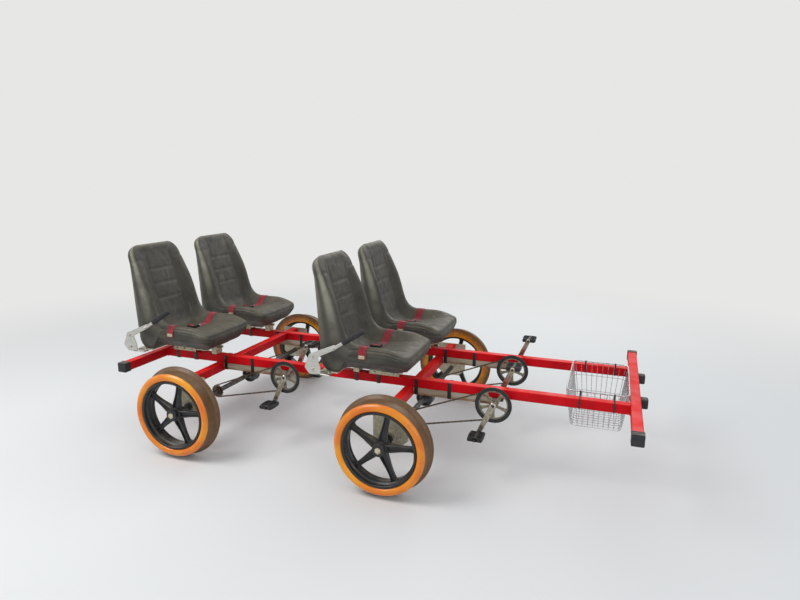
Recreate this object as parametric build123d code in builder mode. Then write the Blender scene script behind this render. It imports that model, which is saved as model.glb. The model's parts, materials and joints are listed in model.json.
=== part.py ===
from build123d import *
import os
from math import atan2, cos, hypot, pi, radians, sin, sqrt

os.makedirs("parts", exist_ok=True)

# Four-seat pedal rail car, in millimetres. +X is forward, +Y is left, +Z is up.
# The origin is in the middle of the length and width, at the height of the lowest point of the wheel flanges.

# Track and wheels
gauge = 1435
flange_play = 5.5
flange_depth = 18
flange_width = 22
flange_lip = 4
tread_width = 80
tread_radius = 239
tread_edge = 6
tyre_bore_radius = 196
rim_wall = 14
rim_inset = 6
wheelbase = 1222
spoke_count = 5
spoke_thickness = 22
spoke_root_width = 40
spoke_tip_width = 28
spoke_turn = 78
hub_radius = 36
axle_radius = 15

# Frame
front_overhang = 1186
rear_overhang = 442
bumper_length = 1370
tube_side = 50
tube_wall = 3
tube_corner = 5
beam_spacing = 602
beam_top = 480
mid_tube_ahead_of_axle = 97
cap_thickness = 5
cap_edge = 1.5
cap_plug_depth = 14
buffer_depth = 35
buffer_side = 50
buffer_edge = 6
buffer_spacing = 394

# Hanger plates and bearings
hanger_width = 190
hanger_drop = 225
hanger_chamfer = 42
hanger_thickness = 8
hanger_spacing = 1200
bearing_radius = 38
bearing_depth = 24
bearing_flange_length = 104
bearing_flange_height = 34
bearing_flange_thickness = 10

# Chain drive
crank_ahead_of_axle = 476
crank_below_beam = 25
chainring_offset = 60
chain_pitch = 12.7
ring_teeth = 38
axle_teeth = 18
tooth_root_depth = 3.6
tooth_tip_height = 3.8
tooth_root_width = 8
tooth_thickness = 2.2
chain_width = 8
chain_height = 8.6
sprocket_hub_radius = 24
sprocket_hub_length = 32
drum_radius = 52
drum_width = 50

# Cranks
crank_length = 170
crank_angle = 66
arm_thickness = 14
arm_root_radius = 17
arm_tip_radius = 13
right_arm_offset = 70
left_arm_offset = 62
spider_arms = 5
spider_turn = 90
spider_boss_radius = 20
spider_root_width = 13
spider_tip_width = 17
ring_band = 15
guard_radius = 96
guard_thickness = 3
guard_step = 6
spindle_radius = 10
bracket_shell_radius = 21
bracket_shell_length = 72
carrier_height = 38
carrier_gap = 2

# Pedals
pedal_length = 92
pedal_depth = 78
pedal_height = 24
pedal_rail = 12
pedal_barrel_width = 20
pedal_spindle_radius = 5
pedal_arm_gap = 6

# Seats: distances along a seat run forwards from the back edge of its pan, heights from its floor
seat_width = 440
seat_top_width = 400
seat_depth = 430
seat_height = 612
seat_behind_axle = 369
nose_height = 92
nose_length = 45
nose_rounding = 12
nose_high = 115
nose_under = 75
under_rounding = 20
under_low = 34
pan_top = 124
pan_low = 98
pan_rear = 130
pan_floor_rise = 6
side_rise = 66
side_run = 110
crease_ahead = 62
crease_height = 114
lumbar_ahead = 36
lumbar_height = 176
back_lean = 78
back_thickness = 49
back_drop = 40
rear_drop = 26
rear_corner = 70
heel_reach = 85
heel_height = 110
heel_start = 30
heel_rounding = 8
heel_low = 26
heel_front = 50
heel_corner = 30
wing_width = 62
wing_rise = 28
wing_ramp = 85
wing_rear = 150
wing_rear_height = 152
wing_crease_ahead = 78
wing_crease_height = 190
wing_turn_ahead = 46
wing_turn_height = 262
wing_waist_ahead = 3
wing_waist_height = 400
back_corner = 60
front_corner = 90
waist_height = 260

# Seat rails
rail_width = 60
channel_height = 30
channel_wall = 3
channel_hole = 10
channel_hole_spacing = 55
front_channel_behind = 54
front_channel_length = 175
rear_channel_behind = 172
rear_channel_length = 165
front_riser_behind = 310
rear_riser_behind = 37
riser_length = 32
slide_bar = 12
slide_bar_inset = 4
slide_bar_behind = 80
slide_bar_ahead = 360
cross_plate_length = 100
cross_plate_thickness = 6
rear_plate_ahead = -20
front_plate_ahead = 290
rear_plate_inset = 10
front_plate_width = 220

# Lap belts
belt_ahead = 152
belt_width = 45
belt_thickness = 3
belt_end_height = 92
belt_above_pan = 8

# Brake levers: measured from the back edge of the seat's pan and from the top of the slide bars
lever_reach = 148
lever_back_height = 30
lever_rear_corner = (-118, 106)
lever_tip = (34, 171)
lever_front_corner = (42, 150)
lever_throat = (-70, 88)
lever_heel = (-50, 33)
lever_plate_rear = -120
lever_gap = 18
lever_plate_thickness = 5
lever_foot_length = 80
lever_foot_width = 60
lever_foot_thickness = 6
lever_tilt = 33
neck_ahead = 32
neck_above = 152
neck_length = 64
neck_width = 10
neck_height = 18
grip_length = 140
grip_width = 26
grip_height = 30

# Basket
basket_length = 304
basket_depth = 200
basket_above_beam = 22
basket_taper = 30
basket_gap = 1
rim_wire_radius = 3.5
wire_radius = 1.75
wires_along = 7
wires_across = 5
wire_sides = 6

# Clamp straps
strap_width = 20
strap_thickness = 3
basket_strap_spacing = 165
clamps_ahead_of_axle = (-310, -178, 44, 230)

# Clearances
fit = 0.15
seat_gap = 0.3
running = 0.5

# Places worked out from the sizes above
flange_radius = tread_radius + flange_depth
axle_height = flange_radius
wheel_inner = gauge / 2 - flange_play - flange_width
wheel_width = flange_width + tread_width
wheel_outer = wheel_inner + wheel_width
overall_length = front_overhang + buffer_depth + wheelbase + seat_behind_axle + lever_reach
front_face = overall_length / 2 - buffer_depth
front_axle_x = front_face - front_overhang
rear_axle_x = front_axle_x - wheelbase
rear_face = rear_axle_x - rear_overhang
beam_y = beam_spacing / 2
beam_z = beam_top - tube_side / 2
beam_bottom = beam_top - tube_side
crank_z = beam_bottom - crank_below_beam
rail_top = beam_top + channel_height + slide_bar
seat_floor = rail_top + cross_plate_thickness + seat_gap
tube_inside = tube_side - 2 * tube_wall
carrier_rear = tube_side / 2 + carrier_gap
rear_plate_width = seat_width - 2 * rear_plate_inset
strap_inside = tube_side + 2 * seat_gap
basket_width = beam_spacing - strap_inside - 2 * (strap_thickness + rim_wire_radius + seat_gap)
basket_front = front_face - tube_side - rim_wire_radius - basket_gap
basket_middle = basket_front - basket_length / 2
basket_rim = beam_top + basket_above_beam

sides = (("right", -1), ("left", 1))
# Row name, axle X, how far behind the axle its channels start, their length, how far behind the axle its risers are
rows = (
    ("front", front_axle_x, front_channel_behind, front_channel_length, front_riser_behind),
    ("rear", rear_axle_x, rear_channel_behind, rear_channel_length, rear_riser_behind),
)


def lengthwise(x, y, z):
    """Sketch plane across the car: its x runs left, its y up, and it is extruded forwards."""
    return Plane(origin=(x, y, z), x_dir=(0, 1, 0), z_dir=(1, 0, 0))


def sideways(x, y, z):
    """Sketch plane along the car: its x runs forwards, its y up, and it is extruded to the right."""
    return Plane(origin=(x, y, z), x_dir=(1, 0, 0), z_dir=(0, -1, 0))


def tube_section():
    """Hollow square tube section with rounded outer corners, centred on the sketch."""
    RectangleRounded(tube_side, tube_side, tube_corner)
    Rectangle(tube_inside, tube_inside, mode=Mode.SUBTRACT)


def pitch_radius(teeth):
    """Radius of the circle through the chain's pins on a wheel with so many teeth."""
    return chain_pitch / (2 * sin(pi / teeth))


def toothed_disc(teeth):
    """Disc with pointed teeth: every tooth has a root corner, its tip and the next root corner."""
    root = pitch_radius(teeth) - tooth_root_depth
    tip = pitch_radius(teeth) + tooth_tip_height
    root_turn = tooth_root_width / 2 / root
    corners = [
        (radius * cos(2 * pi * tooth / teeth + turn), radius * sin(2 * pi * tooth / teeth + turn))
        for tooth in range(teeth)
        for radius, turn in ((root, -root_turn), (tip, 0), (root, root_turn))
    ]
    Polygon(*corners, align=None)


def taper(start, start_width, end, end_width):
    """Trapezium along x, such as a spoke or a spider arm."""
    Polygon(
        (start, -start_width / 2),
        (end, -end_width / 2),
        (end, end_width / 2),
        (start, start_width / 2),
        align=None,
    )


def belt_outline(small, large, centres):
    """Face inside a belt drawn tight round two circles, the small one at the origin."""
    tilt_sin = (large - small) / centres
    tilt_cos = sqrt(1 - tilt_sin**2)
    small_up = (-small * tilt_sin, small * tilt_cos)
    small_down = (-small * tilt_sin, -small * tilt_cos)
    large_up = (centres - large * tilt_sin, large * tilt_cos)
    large_down = (centres - large * tilt_sin, -large * tilt_cos)
    with BuildLine() as belt:
        Line(small_up, large_up)
        ThreePointArc(large_up, (centres + large, 0), large_down)
        Line(large_down, small_down)
        ThreePointArc(small_down, (-small, 0), small_up)
    make_face(belt.edges())


# Frame tubes: the bumpers run across the ends, and the beams butt against them
for side, sign in sides:
    with BuildPart() as beam:
        with BuildSketch(lengthwise(rear_face + tube_side, sign * beam_y, beam_z)):
            tube_section()
        extrude(amount=front_face - rear_face - 2 * tube_side)
    beam.part.label = f"{side}_beam"
    export_step(beam.part, f"parts/{side}_beam.step")

# Cross tube name, X of its centre, Z of its centre, length along Y
cross_tubes = (
    ("front_bumper", front_face - tube_side / 2, beam_z, bumper_length - 2 * cap_thickness),
    ("rear_bumper", rear_face + tube_side / 2, beam_z, bumper_length - 2 * cap_thickness),
    ("mid_cross_tube", rear_axle_x + mid_tube_ahead_of_axle, beam_z, beam_spacing - tube_side),
    ("front_axle_tube", front_axle_x, beam_bottom - tube_side / 2, hanger_spacing),
    ("rear_axle_tube", rear_axle_x, beam_bottom - tube_side / 2, hanger_spacing),
)
for name, x, z, length in cross_tubes:
    with BuildPart() as cross_tube:
        with BuildSketch(sideways(x, 0, z)):
            tube_section()
        extrude(amount=length / 2, both=True)
    cross_tube.part.label = name
    export_step(cross_tube.part, f"parts/{name}.step")

# Black plastic caps, plugged into both ends of both bumpers
with BuildPart() as end_caps:
    for x in (front_face - tube_side / 2, rear_face + tube_side / 2):
        for side, sign in sides:
            tube_end = Plane(
                origin=(x, sign * (bumper_length / 2 - cap_thickness), beam_z), x_dir=(1, 0, 0), z_dir=(0, sign, 0)
            )
            with BuildSketch(tube_end):
                Rectangle(tube_side, tube_side)
            extrude(amount=cap_thickness)
            with BuildSketch(tube_end):
                Rectangle(tube_inside - 2 * running, tube_inside - 2 * running)
            extrude(amount=-cap_plug_depth)
    rims = end_caps.edges().filter_by(lambda edge: abs(edge.center().Y) > bumper_length / 2 - cap_edge / 2)
    chamfer(rims, cap_edge)
end_caps.part.label = "end_caps"
export_step(end_caps.part, "parts/end_caps.step")

# Rubber buffers on the front bumper: square blocks with a chamfered nose
with BuildPart() as buffers:
    with BuildSketch(lengthwise(front_face, 0, beam_z)):
        with GridLocations(buffer_spacing, 0, 2, 1):
            Rectangle(buffer_side, buffer_side)
    extrude(amount=buffer_depth)
    nose_edges = buffers.edges().filter_by(lambda edge: edge.center().X > front_face + buffer_depth - buffer_edge / 2)
    chamfer(nose_edges, buffer_edge)
buffers.part.label = "buffers"
export_step(buffers.part, "parts/buffers.step")

# Hanger plates on the ends of the axle tubes, each with its flanged bearing
for row, axle_x, *_ in rows:
    with BuildPart() as hangers:
        for side, sign in sides:
            # A plane with its z outwards has its y upwards on the right and downwards on the left
            inner_face = Plane(
                origin=(axle_x, sign * hanger_spacing / 2, axle_height), x_dir=(1, 0, 0), z_dir=(0, sign, 0)
            )
            up = -sign
            top = beam_bottom - axle_height
            low = top - hanger_drop
            half = hanger_width / 2
            with BuildSketch(inner_face):
                Polygon(
                    (-half, up * top),
                    (half, up * top),
                    (half, up * (low + hanger_chamfer)),
                    (half - hanger_chamfer, up * low),
                    (hanger_chamfer - half, up * low),
                    (-half, up * (low + hanger_chamfer)),
                    align=None,
                )
            extrude(amount=hanger_thickness)
            with BuildSketch(inner_face.offset(hanger_thickness)):
                Rectangle(bearing_flange_length, bearing_flange_height)
            extrude(amount=bearing_flange_thickness)
            with BuildSketch(inner_face.offset(hanger_thickness)):
                Circle(bearing_radius)
            extrude(amount=bearing_depth)
            with BuildSketch(inner_face):
                Circle(axle_radius + running)
            extrude(amount=hanger_thickness + bearing_depth, mode=Mode.SUBTRACT)
    hangers.part.label = f"{row}_hangers"
    export_step(hangers.part, f"parts/{row}_hangers.step")

# Wheels. Distances across a wheel run outwards from the back of its flange.
rim_outer = tyre_bore_radius - fit
rim_inner = rim_outer - rim_wall
barrel_width = wheel_width - 2 * rim_inset


def wheel_section(axle_x, sign):
    """Sketch plane for a wheel's profile: x outwards from the back of the flange, y out from the axle."""
    return Plane(origin=(axle_x, sign * wheel_inner, axle_height), x_dir=(0, sign, 0), z_dir=(sign, 0, 0))


for row, axle_x, *_ in rows:
    axle_axis = Axis((axle_x, 0, axle_height), (0, 1, 0))

    # Tread rings: flange with a chamfered lip, a sloping root into the tread, and a chamfered outer edge
    with BuildPart() as treads:
        for side, sign in sides:
            with BuildSketch(wheel_section(axle_x, sign)):
                Polygon(
                    (0, tyre_bore_radius),
                    (0, flange_radius - flange_lip),
                    (flange_lip, flange_radius),
                    (flange_width, tread_radius),
                    (wheel_width - tread_edge, tread_radius),
                    (wheel_width, tread_radius - tread_edge),
                    (wheel_width, tyre_bore_radius),
                    align=None,
                )
            revolve(axis=axle_axis)
    treads.part.label = f"{row}_treads"
    export_step(treads.part, f"parts/{row}_treads.step")

    # Wheel centres: rim barrel, hub and tapered spokes
    with BuildPart() as wheels:
        for side, sign in sides:
            with BuildSketch(wheel_section(axle_x, sign)):
                with Locations((wheel_width / 2, (rim_outer + rim_inner) / 2)):
                    Rectangle(barrel_width, rim_wall)
                with Locations((wheel_width / 2, (hub_radius + axle_radius + fit) / 2)):
                    Rectangle(barrel_width, hub_radius - axle_radius - fit)
            revolve(axis=axle_axis)
            with BuildSketch(sideways(axle_x, sign * (wheel_inner + wheel_width / 2), axle_height)):
                with PolarLocations(0, spoke_count, start_angle=spoke_turn):
                    taper(hub_radius - rim_wall / 4, spoke_root_width, rim_inner + rim_wall / 4, spoke_tip_width)
            extrude(amount=spoke_thickness / 2, both=True)
    wheels.part.label = f"{row}_wheels"
    export_step(wheels.part, f"parts/{row}_wheels.step")

    # Axle: shaft through both wheels, a sprocket in line with each pair of chainrings, and the brake drum
    with BuildPart() as axle:
        with BuildSketch(sideways(axle_x, 0, axle_height)):
            Circle(axle_radius)
        extrude(amount=wheel_outer - rim_inset, both=True)
        for side, sign in sides:
            sprocket_plane = sideways(axle_x, sign * beam_y - chainring_offset, axle_height)
            with BuildSketch(sprocket_plane):
                toothed_disc(axle_teeth)
            extrude(amount=tooth_thickness / 2, both=True)
            with BuildSketch(sprocket_plane):
                Circle(sprocket_hub_radius)
            extrude(amount=sprocket_hub_length / 2, both=True)
        with BuildSketch(sideways(axle_x, 0, axle_height)):
            Circle(drum_radius)
        extrude(amount=drum_width / 2, both=True)
    axle.part.label = f"{row}_axle"
    export_step(axle.part, f"parts/{row}_axle.step")

# Drive stations: one in front of each seat, with its chainring on the right of the beam
ring_radius = pitch_radius(ring_teeth)
sprocket_radius = pitch_radius(axle_teeth)
ring_inside = ring_radius - ring_band
# Foot, angle of its crank arm, inner face of the arm beside the beam's middle, direction outwards along Y
feet = (
    ("right", crank_angle + 180, -right_arm_offset, -1),
    ("left", crank_angle, left_arm_offset, 1),
)

# Carriers: square bars under the beams, each with the bottom bracket shell across its front end
with BuildPart() as carriers:
    for row, axle_x, *_ in rows:
        for side, sign in sides:
            with BuildSketch(lengthwise(axle_x + carrier_rear, sign * beam_y, beam_bottom - carrier_height / 2)):
                Rectangle(tube_side, carrier_height)
            extrude(amount=crank_ahead_of_axle - carrier_rear - spindle_radius - tube_wall)
            bracket_middle = sideways(axle_x + crank_ahead_of_axle, sign * beam_y, crank_z)
            with BuildSketch(bracket_middle):
                Circle(bracket_shell_radius)
            extrude(amount=bracket_shell_length / 2, both=True)
            with BuildSketch(bracket_middle):
                Circle(spindle_radius + running)
            extrude(amount=bracket_shell_length / 2, both=True, mode=Mode.SUBTRACT)
carriers.part.label = "crank_carriers"
export_step(carriers.part, "parts/crank_carriers.step")

# Chains: each is one loop of two arcs and two straight runs, grooved where the teeth run in it
rise = crank_z - axle_height
lean = atan2(rise, crank_ahead_of_axle)
centres = hypot(rise, crank_ahead_of_axle)
chain_edge = chain_height / 2
with BuildPart() as chains:
    for row, axle_x, *_ in rows:
        for side, sign in sides:
            chain_plane = Plane(
                origin=(axle_x, sign * beam_y - chainring_offset, axle_height),
                x_dir=(cos(lean), 0, sin(lean)),
                z_dir=(0, -1, 0),
            )
            with BuildSketch(chain_plane):
                belt_outline(sprocket_radius + chain_edge, ring_radius + chain_edge, centres)
            extrude(amount=chain_width / 2, both=True)
            with BuildSketch(chain_plane):
                belt_outline(sprocket_radius - chain_edge, ring_radius - chain_edge, centres)
            extrude(amount=chain_width / 2, both=True, mode=Mode.SUBTRACT)
            with BuildSketch(chain_plane):
                Circle(sprocket_radius + chain_edge + running)
                with Locations((centres, 0)):
                    Circle(ring_radius + chain_edge + running)
            extrude(amount=tooth_thickness / 2 + 2 * running, both=True, mode=Mode.SUBTRACT)
chains.part.label = "chains"
export_step(chains.part, "parts/chains.step")

# Cranks and pedals
for row, axle_x, *_ in rows:
    crank_x = axle_x + crank_ahead_of_axle
    for side, sign in sides:
        station = f"{row}_{side}"
        beam_middle = sign * beam_y
        ring_plane = sideways(crank_x, beam_middle - chainring_offset, crank_z)

        # Crankset: toothed ring, spider, guard ring, spindle, two arms and the pedal spindles
        with BuildPart() as crankset:
            with BuildSketch(ring_plane):
                toothed_disc(ring_teeth)
                Circle(ring_inside, mode=Mode.SUBTRACT)
            extrude(amount=tooth_thickness / 2, both=True)
            with BuildSketch(ring_plane.offset(guard_step)):
                Circle(guard_radius)
                Circle(ring_inside, mode=Mode.SUBTRACT)
            extrude(amount=guard_thickness)
            with BuildSketch(ring_plane):
                Circle(spider_boss_radius)
                with PolarLocations(0, spider_arms, start_angle=spider_turn):
                    taper(spider_boss_radius / 2, spider_root_width, ring_inside + tube_wall, spider_tip_width)
            extrude(amount=guard_step + guard_thickness)
            with BuildSketch(sideways(crank_x, beam_middle + left_arm_offset, crank_z)):
                Circle(spindle_radius)
            extrude(amount=right_arm_offset + left_arm_offset)
            for foot, angle, offset_y, outward in feet:
                along = (cos(radians(angle)), 0, sin(radians(angle)))
                arm_plane = Plane(
                    origin=(crank_x, beam_middle + offset_y, crank_z), x_dir=along, z_dir=(0, outward, 0)
                )
                with BuildSketch(arm_plane):
                    Circle(arm_root_radius)
                    taper(0, 2 * arm_root_radius, crank_length, 2 * arm_tip_radius)
                    with Locations((crank_length, 0)):
                        Circle(arm_tip_radius)
                extrude(amount=arm_thickness)
                with BuildSketch(arm_plane.offset(arm_thickness)):
                    with Locations((crank_length, 0)):
                        Circle(pedal_spindle_radius)
                extrude(amount=pedal_arm_gap + pedal_length)
        crankset.part.label = f"{station}_crankset"
        export_step(crankset.part, f"parts/{station}_crankset.step")

        # Pedals: an open cage round a barrel that turns on the spindle
        for foot, angle, offset_y, outward in feet:
            pedal_x = crank_x + crank_length * cos(radians(angle))
            pedal_z = crank_z + crank_length * sin(radians(angle))
            pedal_y = beam_middle + offset_y + outward * (arm_thickness + pedal_arm_gap + pedal_length / 2)
            window_depth = (pedal_depth - pedal_barrel_width) / 2 - pedal_rail
            with BuildPart() as pedal:
                with BuildSketch(Plane(origin=(pedal_x, pedal_y, pedal_z - pedal_height / 2))):
                    Rectangle(pedal_depth, pedal_length)
                    with GridLocations(pedal_barrel_width + window_depth, 0, 2, 1):
                        Rectangle(window_depth, pedal_length - 2 * pedal_rail, mode=Mode.SUBTRACT)
                extrude(amount=pedal_height)
                chamfer(pedal.edges().filter_by(Axis.Z).group_by(SortBy.DISTANCE)[-1], pedal_rail / 2)
                with BuildSketch(sideways(pedal_x, pedal_y, pedal_z)):
                    Circle(pedal_spindle_radius + running)
                extrude(amount=pedal_length / 2, both=True, mode=Mode.SUBTRACT)
            name = f"{station}_{foot}_pedal"
            pedal.part.label = name
            export_step(pedal.part, f"parts/{name}.step")

# Seats. The seating face is one line from the pan's nose up the back; the wings stand proud of it on both sides.
# A run of a line has two points when it is straight, and three when it is an arc.
nose_top = (seat_depth - nose_length, pan_top)
pan_rear_top = (pan_rear, pan_low)
lumbar = (lumbar_ahead, lumbar_height)
back_top = (-back_lean, seat_height - back_drop)
seating_face = (
    (nose_top, pan_rear_top),
    (pan_rear_top, (crease_ahead, crease_height), lumbar),
    (lumbar, back_top),
)
wing_front_top = (seat_depth - nose_length - wing_ramp, pan_top + wing_rise)
wing_rear_top = (wing_rear, wing_rear_height)
wing_turn = (wing_turn_ahead, wing_turn_height)
wing_waist = (wing_waist_ahead, wing_waist_height)
wing_edge = (
    (nose_top, wing_front_top),
    (wing_front_top, wing_rear_top),
    (wing_rear_top, (wing_crease_ahead, wing_crease_height), wing_turn),
    (wing_turn, wing_waist),
    (wing_waist, back_top),
)
under_rear = (-heel_start, 0)
under_front = (seat_depth - nose_under, pan_floor_rise)
nose = (seat_depth, nose_height)
rear_top = (-back_lean - back_thickness, seat_height - rear_drop)
heel_top = (-heel_reach, heel_height)
shell_front = (
    (under_rear, under_front),
    (under_front, (seat_depth - under_rounding, under_low), nose),
    (nose, (seat_depth - nose_rounding, nose_high), nose_top),
)
shell_rear = (
    (back_top, (-back_lean - back_thickness / 2, seat_height), rear_top),
    (rear_top, heel_top),
    (heel_top, (heel_rounding - heel_reach, heel_low), under_rear),
)


def seat_profile(face):
    """Side view of the seat: the underside and rear of the shell, closed by a seating face or a wing's edge."""
    with BuildLine() as outline:
        for run in shell_front + face + shell_rear:
            if len(run) == 2:
                Line(*run)
            else:
                ThreePointArc(*run)
    make_face(outline.edges())


for row, axle_x, channel_behind, channel_length, riser_behind in rows:
    seat_x = axle_x - seat_behind_axle
    for side, sign in sides:
        station = f"{row}_{side}"
        beam_middle = sign * beam_y
        wing_start = seat_width / 2 - wing_width

        # Shell: the profile across the width, thicker at the wings, trimmed to the front and plan outlines
        with BuildPart() as shell:
            middle = sideways(seat_x, beam_middle, seat_floor)
            with BuildSketch(middle):
                seat_profile(seating_face)
            extrude(amount=seat_width / 2, both=True)
            for hand in (1, -1):
                with BuildSketch(middle.offset(hand * wing_start)):
                    seat_profile(wing_edge)
                extrude(amount=hand * wing_width)
            with BuildSketch(lengthwise(seat_x, beam_middle, seat_floor)):
                half = seat_width / 2
                top = seat_top_width / 2
                outline = Polygon(
                    (-half, 0),
                    (half, 0),
                    (half, waist_height),
                    (top, seat_height),
                    (-top, seat_height),
                    (-half, waist_height),
                    align=None,
                )
                corners = outline.vertices().group_by(Axis.Y)
                fillet(corners[-1], back_corner)
                fillet(corners[0], heel_corner)
            extrude(amount=2 * seat_depth, both=True, mode=Mode.INTERSECT)
            with BuildSketch(Plane(origin=(seat_x, beam_middle, seat_floor))):
                behind = back_lean + back_thickness + heel_reach
                with Locations(((seat_depth - behind) / 2, 0)):
                    plan = Rectangle(seat_depth + behind, seat_width)
                fillet(plan.vertices().group_by(Axis.X)[-1], front_corner)
            extrude(amount=seat_height, mode=Mode.INTERSECT)

            # Rounded rear corners, along the slope of the back's rear face
            slope = Vector(rear_top[0] - heel_top[0], 0, rear_top[1] - heel_top[1])
            heel_middle = (seat_x + heel_top[0], beam_middle, seat_floor + heel_top[1])
            with BuildSketch(Plane(origin=heel_middle, x_dir=(0, 1, 0), z_dir=slope)):
                with Locations((0, -seat_depth)):
                    section = Rectangle(seat_width, 2 * seat_depth)
                fillet(section.vertices().group_by(Axis.Y)[-1], rear_corner)
            extrude(amount=2 * seat_height, both=True, mode=Mode.INTERSECT)

            # Underside of the pan: ahead of the heel it rises towards both sides
            with BuildSketch(lengthwise(seat_x + heel_front, beam_middle, seat_floor)):
                for hand in (1, -1):
                    Polygon(
                        (hand * (half - side_run), -side_rise),
                        (hand * (half + side_run), -side_rise),
                        (hand * (half + side_run), 2 * side_rise),
                        (hand * (half - side_run), 0),
                        align=None,
                    )
            extrude(amount=seat_depth, mode=Mode.SUBTRACT)
        shell.part.label = f"{station}_seat"
        export_step(shell.part, f"parts/{station}_seat.step")

        # Rail: perforated channel and riser on the beam, two slide bars on them, and the cross plates on top
        with BuildPart() as rail:
            channel_rear = axle_x - channel_behind - channel_length
            with BuildSketch(lengthwise(channel_rear, beam_middle, beam_top + channel_height / 2)):
                Rectangle(rail_width, channel_height)
                with Locations((0, -channel_wall / 2)):
                    Rectangle(rail_width - 2 * channel_wall, channel_height - channel_wall, mode=Mode.SUBTRACT)
            extrude(amount=channel_length)
            channel_middle = channel_rear + channel_length / 2
            with BuildSketch(sideways(channel_middle, beam_middle, beam_top + channel_height / 2)):
                with GridLocations(channel_hole_spacing, 0, 3, 1):
                    Rectangle(channel_hole, channel_hole)
            extrude(amount=rail_width / 2, both=True, mode=Mode.SUBTRACT)
            with BuildSketch(Plane(origin=(axle_x - riser_behind, beam_middle, beam_top))):
                Rectangle(riser_length, rail_width)
            extrude(amount=channel_height)
            bar_middle = seat_x + (slide_bar_ahead - slide_bar_behind) / 2
            with BuildSketch(Plane(origin=(bar_middle, beam_middle, beam_top + channel_height))):
                with GridLocations(0, rail_width - slide_bar - slide_bar_inset, 1, 2):
                    Rectangle(slide_bar_ahead + slide_bar_behind, slide_bar)
            extrude(amount=slide_bar)
            with BuildSketch(Plane(origin=(seat_x, beam_middle, rail_top))):
                with Locations((rear_plate_ahead, 0)):
                    Rectangle(cross_plate_length, rear_plate_width)
                with Locations((front_plate_ahead, 0)):
                    Rectangle(cross_plate_length, front_plate_width)
            extrude(amount=cross_plate_thickness)
        rail.part.label = f"{station}_seat_rail"
        export_step(rail.part, f"parts/{station}_seat_rail.step")

    # Brake lever beside the right-hand seat: foot on the cross plate, bent plate, neck and grip
    plate_y = -beam_y - seat_width / 2 - lever_gap
    with BuildPart() as lever:
        with BuildSketch(sideways(seat_x, plate_y, rail_top)):
            Polygon(
                (lever_plate_rear, -lever_foot_thickness),
                (lever_heel[0], -lever_foot_thickness),
                lever_heel,
                lever_throat,
                lever_front_corner,
                lever_tip,
                lever_rear_corner,
                (-lever_reach, lever_back_height),
                align=None,
            )
        extrude(amount=lever_plate_thickness)
        foot_y = plate_y - lever_plate_thickness + lever_foot_width / 2
        with BuildSketch(Plane(origin=(seat_x - lever_foot_length, foot_y, rail_top - lever_foot_thickness))):
            Rectangle(lever_foot_length, lever_foot_width)
        extrude(amount=lever_foot_thickness)
        neck_start = (seat_x + neck_ahead, plate_y - lever_plate_thickness / 2, rail_top + neck_above)
        neck_way = (cos(radians(lever_tilt)), 0, sin(radians(lever_tilt)))
        neck_plane = Plane(origin=neck_start, x_dir=(0, 1, 0), z_dir=neck_way)
        with BuildSketch(neck_plane):
            Rectangle(neck_width, neck_height)
        extrude(amount=neck_length)
        with BuildSketch(neck_plane.offset(neck_length)):
            RectangleRounded(grip_width, grip_height, grip_width / 3)
        extrude(amount=grip_length)
    lever.part.label = f"{row}_brake_lever"
    export_step(lever.part, f"parts/{row}_brake_lever.step")

# Lap belts: webbing lying across each pan and over both wings. Its lower face follows lower_line from the right
# side to the middle, and both faces are mirrored to the other side.
crest = pan_top + wing_rise
low = pan_low + belt_above_pan
inner = seat_width / 2 - wing_width - seat_gap - belt_thickness
outer = seat_width / 2 + seat_gap
lower_line = ((outer, belt_end_height), (outer, crest), (inner, crest), (inner, low))
upper_line = (
    (inner - belt_thickness, low + belt_thickness),
    (inner - belt_thickness, crest + belt_thickness),
    (outer + belt_thickness, crest + belt_thickness),
    (outer + belt_thickness, belt_end_height),
)
lower_mirrored = [(-y, z) for y, z in reversed(lower_line)]
upper_mirrored = [(-y, z) for y, z in reversed(upper_line)]
with BuildPart() as belts:
    for row, axle_x, *_ in rows:
        for side, sign in sides:
            with BuildSketch(lengthwise(axle_x - seat_behind_axle + belt_ahead, sign * beam_y, seat_floor)):
                Polygon(*lower_line, *lower_mirrored, *upper_mirrored, *upper_line, align=None)
            extrude(amount=belt_width)
belts.part.label = "lap_belts"
export_step(belts.part, "parts/lap_belts.step")

# Wire basket between the beams, behind the front bumper
# Direction that the bent wires run in, how many, their reach from the middle, the width they share, and the
# lift of their floor run
wire_sets = (
    ("along", wires_along, basket_length / 2, basket_width, 0),
    ("across", wires_across, basket_width / 2, basket_length, wire_radius),
)
with BuildPart() as basket:
    with BuildLine(Plane(origin=(basket_middle, 0, basket_rim))) as rim:
        Polyline(
            (-basket_length / 2, -basket_width / 2),
            (basket_length / 2, -basket_width / 2),
            (basket_length / 2, basket_width / 2),
            (-basket_length / 2, basket_width / 2),
            close=True,
        )
    with BuildSketch(lengthwise(basket_middle, -basket_width / 2, basket_rim)):
        RegularPolygon(rim_wire_radius, wire_sides)
    sweep(path=rim.wires()[0], transition=Transition.RIGHT)
    for run, count, reach, shared, lift in wire_sets:
        for index in range(count):
            share = (index + 0.5) / count - 0.5
            high = share * shared
            low = share * (shared - 2 * basket_taper)
            floor_reach = reach - basket_taper
            floor = lift - basket_depth
            points = ((-reach, high, 0), (-floor_reach, low, floor), (floor_reach, low, floor), (reach, high, 0))
            if run == "across":
                points = tuple((y, x, z) for x, y, z in points)
            placed = [Vector(*point) + Vector(basket_middle, 0, basket_rim) for point in points]
            with BuildLine() as wire:
                Polyline(*placed)
            with BuildSketch(Plane(origin=placed[0], z_dir=placed[1] - placed[0])):
                RegularPolygon(wire_radius, wire_sides)
            sweep(path=wire.wires()[0], transition=Transition.RIGHT)
basket.part.label = "basket"
export_step(basket.part, "parts/basket.step")

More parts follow.
